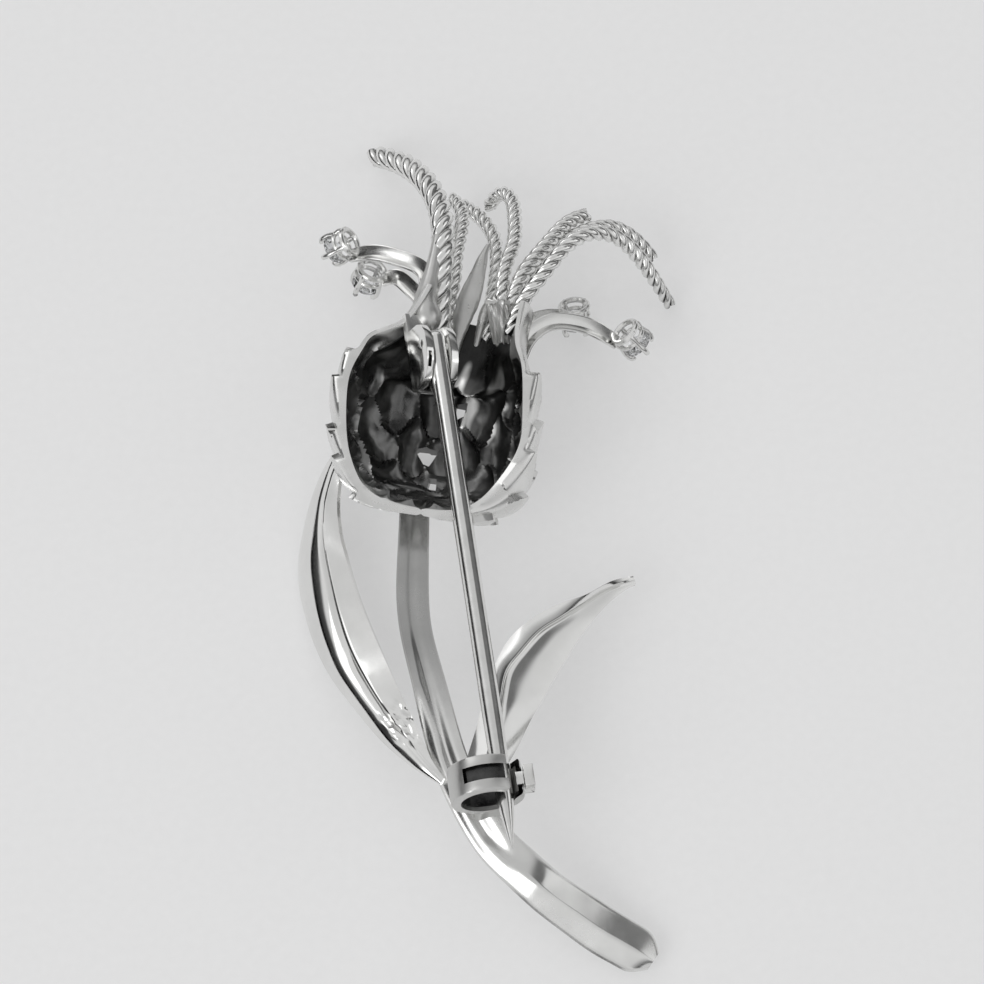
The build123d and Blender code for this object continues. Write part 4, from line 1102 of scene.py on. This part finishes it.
# Stamens: channel straps with a claw setting and a brilliant each
stamen = {
    "side": 8.5, "up": 6.0, "height": 7.0, "strapWidth": 1.25, "strapDepth": 0.62, "strapWall": 0.2,
    "stoneRadius": 0.95, "girdle": 1.55, "crown": 0.3, "pavilion": 0.78, "table": 0.58,
    "baseRadius": 0.92, "baseWire": 0.2, "baseAt": 0.12, "galleryRadius": 0.92, "galleryAt": 0.78,
    "clawRadius": 0.19, "clawTop": 2.12, "waist": 0.22, "waistOver": 0.12,
}
stamens = {
    "left_front": {"base": (-0.91, 0.92, 0.75), "axis": (-0.80, -0.15, -0.58), "rows": [
        (-0.31, -0.24, 0.98), (-0.29, 0.02, 1.05), (-0.29, 0.24, 1.08), (-0.34, 0.44, 1.02),
        (-0.51, 0.60, 0.95), (-0.72, 0.72, 0.87)]},
    "left_back": {"base": (-0.74, 0.75, 0.43), "axis": (-0.35, -0.35, -0.87), "rows": [
        (-0.24, -0.16, 0.72), (-0.29, 0.05, 0.69), (-0.35, 0.28, 0.62), (-0.45, 0.49, 0.53),
        (-0.56, 0.64, 0.47)]},
    "right_front": {"base": (1.26, -0.17, 0.70), "axis": (0.65, -0.35, -0.67), "rows": [
        (0.42, -0.58, 0.84), (0.48, -0.40, 0.90), (0.57, -0.26, 0.92), (0.69, -0.16, 0.90),
        (0.84, -0.14, 0.86), (1.00, -0.17, 0.80)]},
    "right_back": {"base": (0.87, 0.33, 0.37), "axis": (0.10, -0.55, -0.83), "rows": [
        (0.29, -0.28, 0.59), (0.40, -0.16, 0.59), (0.52, 0.02, 0.55), (0.66, 0.14, 0.46)]},
}


def circleRows(centre, axis, across, radius, wire, sides=28, ring=10):
    # closed ring of round wire
    third = axis.cross(across)
    verts, faces = [], []
    for i in range(sides):
        turn = 2 * math.pi * i / sides
        out = across * math.cos(turn) + third * math.sin(turn)
        for k in range(ring):
            lift = 2 * math.pi * k / ring
            verts.append(centre + out * (radius + wire * math.cos(lift)) + axis * (wire * math.sin(lift)))
    for i in range(sides):
        for k in range(ring):
            a, b = i * ring, (i + 1) % sides * ring
            faces.append((a + k, b + k, b + (k + 1) % ring, a + (k + 1) % ring))
    return verts, faces


def makeStamen(name, facts):
    s = stamen
    centre = Vector(sprayPoint(facts["base"], s))
    axis = Vector(facts["axis"]).normalized()
    across = axis.cross(Vector((0, 1, 0))).normalized()
    third = axis.cross(across)
    points = [Vector(sprayPoint(r, s)) for r in facts["rows"]]
    back = points[-1] - centre
    sideways = (back - axis * back.dot(axis)).normalized()
    points.append(centre + sideways * (s["galleryRadius"] - 0.05) + axis * 0.35)
    line = smoothRows([tuple(p) for p in points], 60)
    sections = []
    for i in range(len(line)):
        # the strap narrows towards the setting
        narrow = 1.0 - s["waist"] * math.exp(-((i / (len(line) - 1) - 1) / s["waistOver"]) ** 2)
        sections.append(channelSection(s["strapWidth"] * narrow, s["strapDepth"], s["strapWall"]))
    parts = [sweep([tuple(p) for p in line], sections)]
    for at, radius, wire in ((s["baseAt"], s["baseRadius"], 1.0), (s["galleryAt"], s["galleryRadius"], 0.8)):
        parts.append(circleRows(centre + axis * at, axis, across, radius, s["baseWire"] * wire))
    for k in range(4):
        turn = math.pi / 4 + k * math.pi / 2
        out = across * math.cos(turn) + third * math.sin(turn)
        rows = []
        for height, radius, wire in (
            (0.0, s["baseRadius"], 0.8), (0.4, s["baseRadius"] + 0.08, 1.0),
            (s["galleryAt"], s["galleryRadius"], 1.0),
            (1.3, s["stoneRadius"] + 0.08, 1.0), (1.7, s["stoneRadius"] + 0.08, 1.0),
            (1.95, s["stoneRadius"] - 0.02, 0.95), (s["clawTop"] - 0.06, s["stoneRadius"] - 0.14, 0.7),
            (s["clawTop"], s["stoneRadius"] - 0.2, 0.25),
        ):
            place = centre + axis * height + out * radius
            rows.append((*place, s["clawRadius"] * wire))
        parts.append(tube(rows, 12))
    piece = newPiece("stamen_" + name + "Setting", joined(parts), metals["satinMetal"], smoothAngle=32)
    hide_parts("stamen_" + name)

    # brilliant: table, star, kite, girdle and pavilion facets
    rings = []
    for height, radius, turned, count in (
        (s["girdle"] + s["crown"], s["table"], 0.0, 8), (s["girdle"] + s["crown"] * 0.5, 0.82, 0.5, 8),
        (s["girdle"] + 0.05, 1.0, 0.0, 16), (s["girdle"] - 0.05, 1.0, 0.0, 16),
        (s["girdle"] - s["pavilion"] * 0.45, 0.6, 0.5, 8),
    ):
        ring = []
        for k in range(count):
            turn = 2 * math.pi * (k + turned) / count
            out = across * math.cos(turn) + third * math.sin(turn)
            ring.append(centre + axis * height + out * radius * s["stoneRadius"])
        rings.append(ring)
    verts = [v for ring in rings for v in ring]
    starts = np.cumsum([0] + [len(r) for r in rings])
    t, c, g, h, q = (int(x) for x in starts[:5])
    culet = len(verts)
    verts.append(centre + axis * (s["girdle"] - s["pavilion"]))
    faces = [tuple(t + k for k in range(8))]
    for k in range(8):
        n = (k + 1) % 8
        faces.append((t + k, t + n, c + k))
        faces.append((t + n, c + n, g + 2 * n, c + k))
        faces.append((c + k, g + 2 * n, g + 2 * k + 1))
        faces.append((c + k, g + 2 * k + 1, g + 2 * k))
        faces.append((h + 2 * k, h + 2 * k + 1, q + k))
        faces.append((h + 2 * k + 1, h + 2 * n, q + k))
        faces.append((q + k, h + 2 * n, q + n, culet))
    for k in range(16):
        n = (k + 1) % 16
        faces.append((g + k, g + n, h + n, h + k))
    stone = newPiece("stone_" + name + "Brilliant", (verts, faces), clearStone, smoothAngle=5)
    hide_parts("stone_" + name)


for name, facts in stamens.items():
    makeStamen(name, facts)
print("stamens made")

# Tongues: smooth tapered strips that lie in the neck, and the ragged end of the neck's solder
tongues = {
    "tongue_left": {"stations": 40, "rows": [
        (-0.055, -0.19, 0.46, 0.3), (-0.03, -0.05, 0.55, 0.95), (0.02, 0.09, 0.65, 1.5),
        (0.065, 0.20, 0.71, 1.1), (0.105, 0.32, 0.73, 0.55), (0.125, 0.37, 0.73, 0.2)]},
    "tongue_right": {"stations": 30, "rows": [
        (0.05, -0.14, 0.42, 0.3), (0.085, -0.02, 0.53, 0.62), (0.12, 0.07, 0.61, 0.6),
        (0.135, 0.10, 0.63, 0.3)]},
}
rootSolder = {
    "low": [(0.25, 12.9, 5.9), (1.75, 12.8, 6.2)], "high": [(-0.25, 15.1, 7.6), (1.4, 15.0, 7.7)],
    "rows": 26, "columns": 44, "thick": 0.3, "ragged": 0.3, "raggedGrain": 7,
    "streak": 0.9, "streakGrain": (9, 1.4), "streakWay": (0, -0.5, 0.5),
}


def makeTongues():
    for name, facts in tongues.items():
        rows = smoothRows([
            (*sprayPoint(r, spray), r[3]) for r in facts["rows"]
        ], facts["stations"])
        sections = []
        for i, row in enumerate(rows):
            uneven = 1 + 0.1 * noise.noise(Vector((i * 0.35, 2.0, 1.0)))
            thick = 0.2 * min(1.0, row[3] * 1.6)
            turns = [math.pi * k / 8 for k in range(16)]
            wide = row[3] * 0.5 * uneven
            sections.append([(-wide * math.cos(turn), thick * math.sin(turn)) for turn in turns])
        shape = sweep([tuple(r[:3]) for r in rows], sections)
        piece = newPiece(name + "Strip", shape, metals["smoothSolder"], smoothAngle=50)
        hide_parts(name)


def makeRootSolder():
    # rough plate of solder between the roots of the bristles, with a ragged bright edge
    r = rootSolder
    rings = []
    for i in range(r["rows"]):
        up = i / (r["rows"] - 1)
        front, back = [], []
        for k in range(r["columns"]):
            side = k / (r["columns"] - 1)
            low, high = (Vector(r[key][0]).lerp(Vector(r[key][1]), side) for key in ("low", "high"))
            ragged = 1 + r["ragged"] * noise.noise(Vector((side * r["raggedGrain"], 3, 1))) * up
            point = low.lerp(high, up * ragged)
            across, along = r["streakGrain"]
            streak = r["streak"] * noise.noise(Vector((side * across, up * along, 5)))
            front.append(point + Vector(r["streakWay"]) * streak)
            back.append(point + Vector((0, r["thick"], -0.1)))
        rings.append(front + back[::-1])
    piece = newPiece("rootSolder", skin(rings), metals["smoothSolder"], smoothAngle=60)
    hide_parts("calyx")


makeTongues()
makeRootSolder()
print("tongues made")

# Pin: drawn wire with a rounded end above the rivet and a point


def makePin():
    rings = []
    for at, radius in pin["rows"]:
        ring = []
        for k in range(pin["sides"]):
            turn = 2 * math.pi * k / pin["sides"]
            out = pinRight * math.cos(turn) + Vector((0, 0, math.sin(turn)))
            ring.append(pinOrigin + pinAlong * at + out * radius)
        rings.append(ring)
    piece = newPiece("pinWire", skin(rings), metals["wireMetal"], body="pin", smoothAngle=40)
    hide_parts("pin_stem")


makePin()
print("pin made")

# Safety catch: barrel with its mouth and lever slot, and the tube that turns in it
catch = {
    "along": 30.95, "aside": 1.08, "length": 2.4, "radius": 2.4, "wall": 0.3, "lip": 0.3, "clearance": 0.06,
    "tubeWall": 0.28, "mouthTurn": 60.0, "mouthWidth": 1.34, "slotWidth": 1.0, "slotStart": -14.0,
    "slotEnd": 127.0, "leverTurn": -1.0, "leverReach": 0.65, "leverHeight": 1.6, "leverLength": 1.45,
    "leverNeck": 0.7, "saddleWidth": 1.7, "saddleHeight": 2.2, "rounding": 0.16, "ribPitch": 0.36,
    "ribWidth": 0.12, "ribDepth": 0.08, "ribs": 4,
}
catchCentre = pinOrigin + pinAlong * catch["along"] - pinRight * catch["aside"]
catchStart = catchCentre - pinAlong * catch["length"] / 2


def catchPlace(degreesUp):
    # local X turned from the right towards the back, local Z along the pin
    turn = math.radians(degreesUp)
    return planeAt(catchStart, pinRight * math.cos(turn) + Vector((0, 0, math.sin(turn))), pinAlong)


def sector(name, place, low, high, halfAngle, inner, outer):
    steps = 24
    turns = [math.radians(halfAngle) * (2 * k / steps - 1) for k in range(steps + 1)]
    corners = [(outer * math.cos(t), outer * math.sin(t)) for t in turns]
    corners += [(inner * math.cos(t), inner * math.sin(t)) for t in reversed(turns)]
    return prism(name, corners, low, high, place)


def makeCatch():
    c = catch
    level = catchPlace(0)
    tubeRadius = c["radius"] - c["wall"] - c["clearance"]
    bore = tubeRadius - c["tubeWall"]
    high = c["length"]
    r, curve = c["radius"], c["rounding"]
    outline = [(0.001, 0), (r - curve, 0), (r - curve * 0.3, curve * 0.3), (r, curve), (r, high - curve),
               (r - curve * 0.3, high - curve * 0.3), (r - curve, high), (0.001, high)]
    barrel = turnedSolid("catchBarrel", outline, level)
    saddle = box("saddle", catchPlace(-90), (r - 0.3, r + c["saddleHeight"] - 0.2),
                 (-c["saddleWidth"] / 2, c["saddleWidth"] / 2), (0.3, high - 0.3))
    combine(barrel, [saddle], "UNION")
    slotMiddle = (c["slotStart"] + c["slotEnd"]) / 2
    mouth = catchPlace(c["mouthTurn"])
    offset = pinRight * c["aside"]
    mouthPlace = planeAt(catchStart + offset - pinAlong, mouth.to_3x3() @ Vector((1, 0, 0)), pinAlong)
    half = c["mouthWidth"] / 2
    through = (-1, high + 1)  # cutters reach past both ends
    mouthSize = ((-0.02, 5), (-half, half), (-1, high + 3))
    cutters = [
        turnedSolid("bore", [(bore, end) for end in through], level),
        turnedSolid("room", [(r - c["wall"], c["lip"]), (r - c["wall"], high - c["lip"])], level),
        box("mouth", mouthPlace, *mouthSize),
        sector("slot", catchPlace(slotMiddle), (high - c["slotWidth"]) / 2, (high + c["slotWidth"]) / 2,
               (c["slotEnd"] - c["slotStart"]) / 2, bore, r + 1),
    ]
    combine(barrel, cutters, "DIFFERENCE")
    finished(barrel, metals["matteMetal"], bevel=0.05, segments=2)
    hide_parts("catch_housing")

    low = c["lip"] + c["clearance"]
    innerTube = turnedSolid("catchTube", [(tubeRadius, low), (tubeRadius, high - low)], level)
    combine(innerTube, [
        turnedSolid("tubeBore", [(bore, end) for end in through], level),
        box("tubeMouth", mouthPlace, *mouthSize),
    ], "DIFFERENCE")
    finished(innerTube, metals["paintedShadeMetal"], body="roller", bevel=0.03, segments=1)
    # the tube is painted dark as shade inside the barrel, the cut edges of its mouth are plain
    innerTube.data.materials.append(metals["matteMetal"])
    home, skinDeep = level.inverted(), 0.05
    for polygon in innerTube.data.polygons:
        at = home @ (polygon.center / millimetre)
        if bore + skinDeep < math.hypot(at.x, at.y) < tubeRadius - skinDeep:
            polygon.material_index = 1
    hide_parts("catch_roller")

    lever = catchPlace(c["leverTurn"])
    neckLength = c["slotWidth"] - 2 * c["clearance"]
    neck = box("leverNeck", lever, (tubeRadius - 0.1, r + 0.2), (-c["leverNeck"] / 2, c["leverNeck"] / 2),
               ((high - neckLength) / 2, (high + neckLength) / 2))
    start = r + c["clearance"]
    knob = box("leverKnob", lever, (start, start + c["leverReach"]),
               (-c["leverHeight"] / 2, c["leverHeight"] / 2),
               ((high - c["leverLength"]) / 2, (high + c["leverLength"]) / 2))
    ribs = []
    for k in range(c["ribs"]):  # grooves that give the thumb a hold
        at = (k - (c["ribs"] - 1) / 2) * c["ribPitch"]
        deep = (start + c["leverReach"] - c["ribDepth"], start + 2)
        ribs.append(box("rib", lever, deep, (at - c["ribWidth"] / 2, at + c["ribWidth"] / 2), through))
    combine(knob, ribs, "DIFFERENCE")
    combine(knob, [neck], "UNION")
    finished(knob, metals["satinMetal"], body="roller", bevel=0.04, segments=2)
    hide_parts("catch_roller")


makeCatch()
print("catch made")

cadFinishes = {"hinge_rivet": "satinMetal", "catch_roller": "satinMetal"}
for name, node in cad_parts.items():
    node.data.materials.clear()
    node.data.materials.append(metals[cadFinishes.get(name, "polishedMetal")])
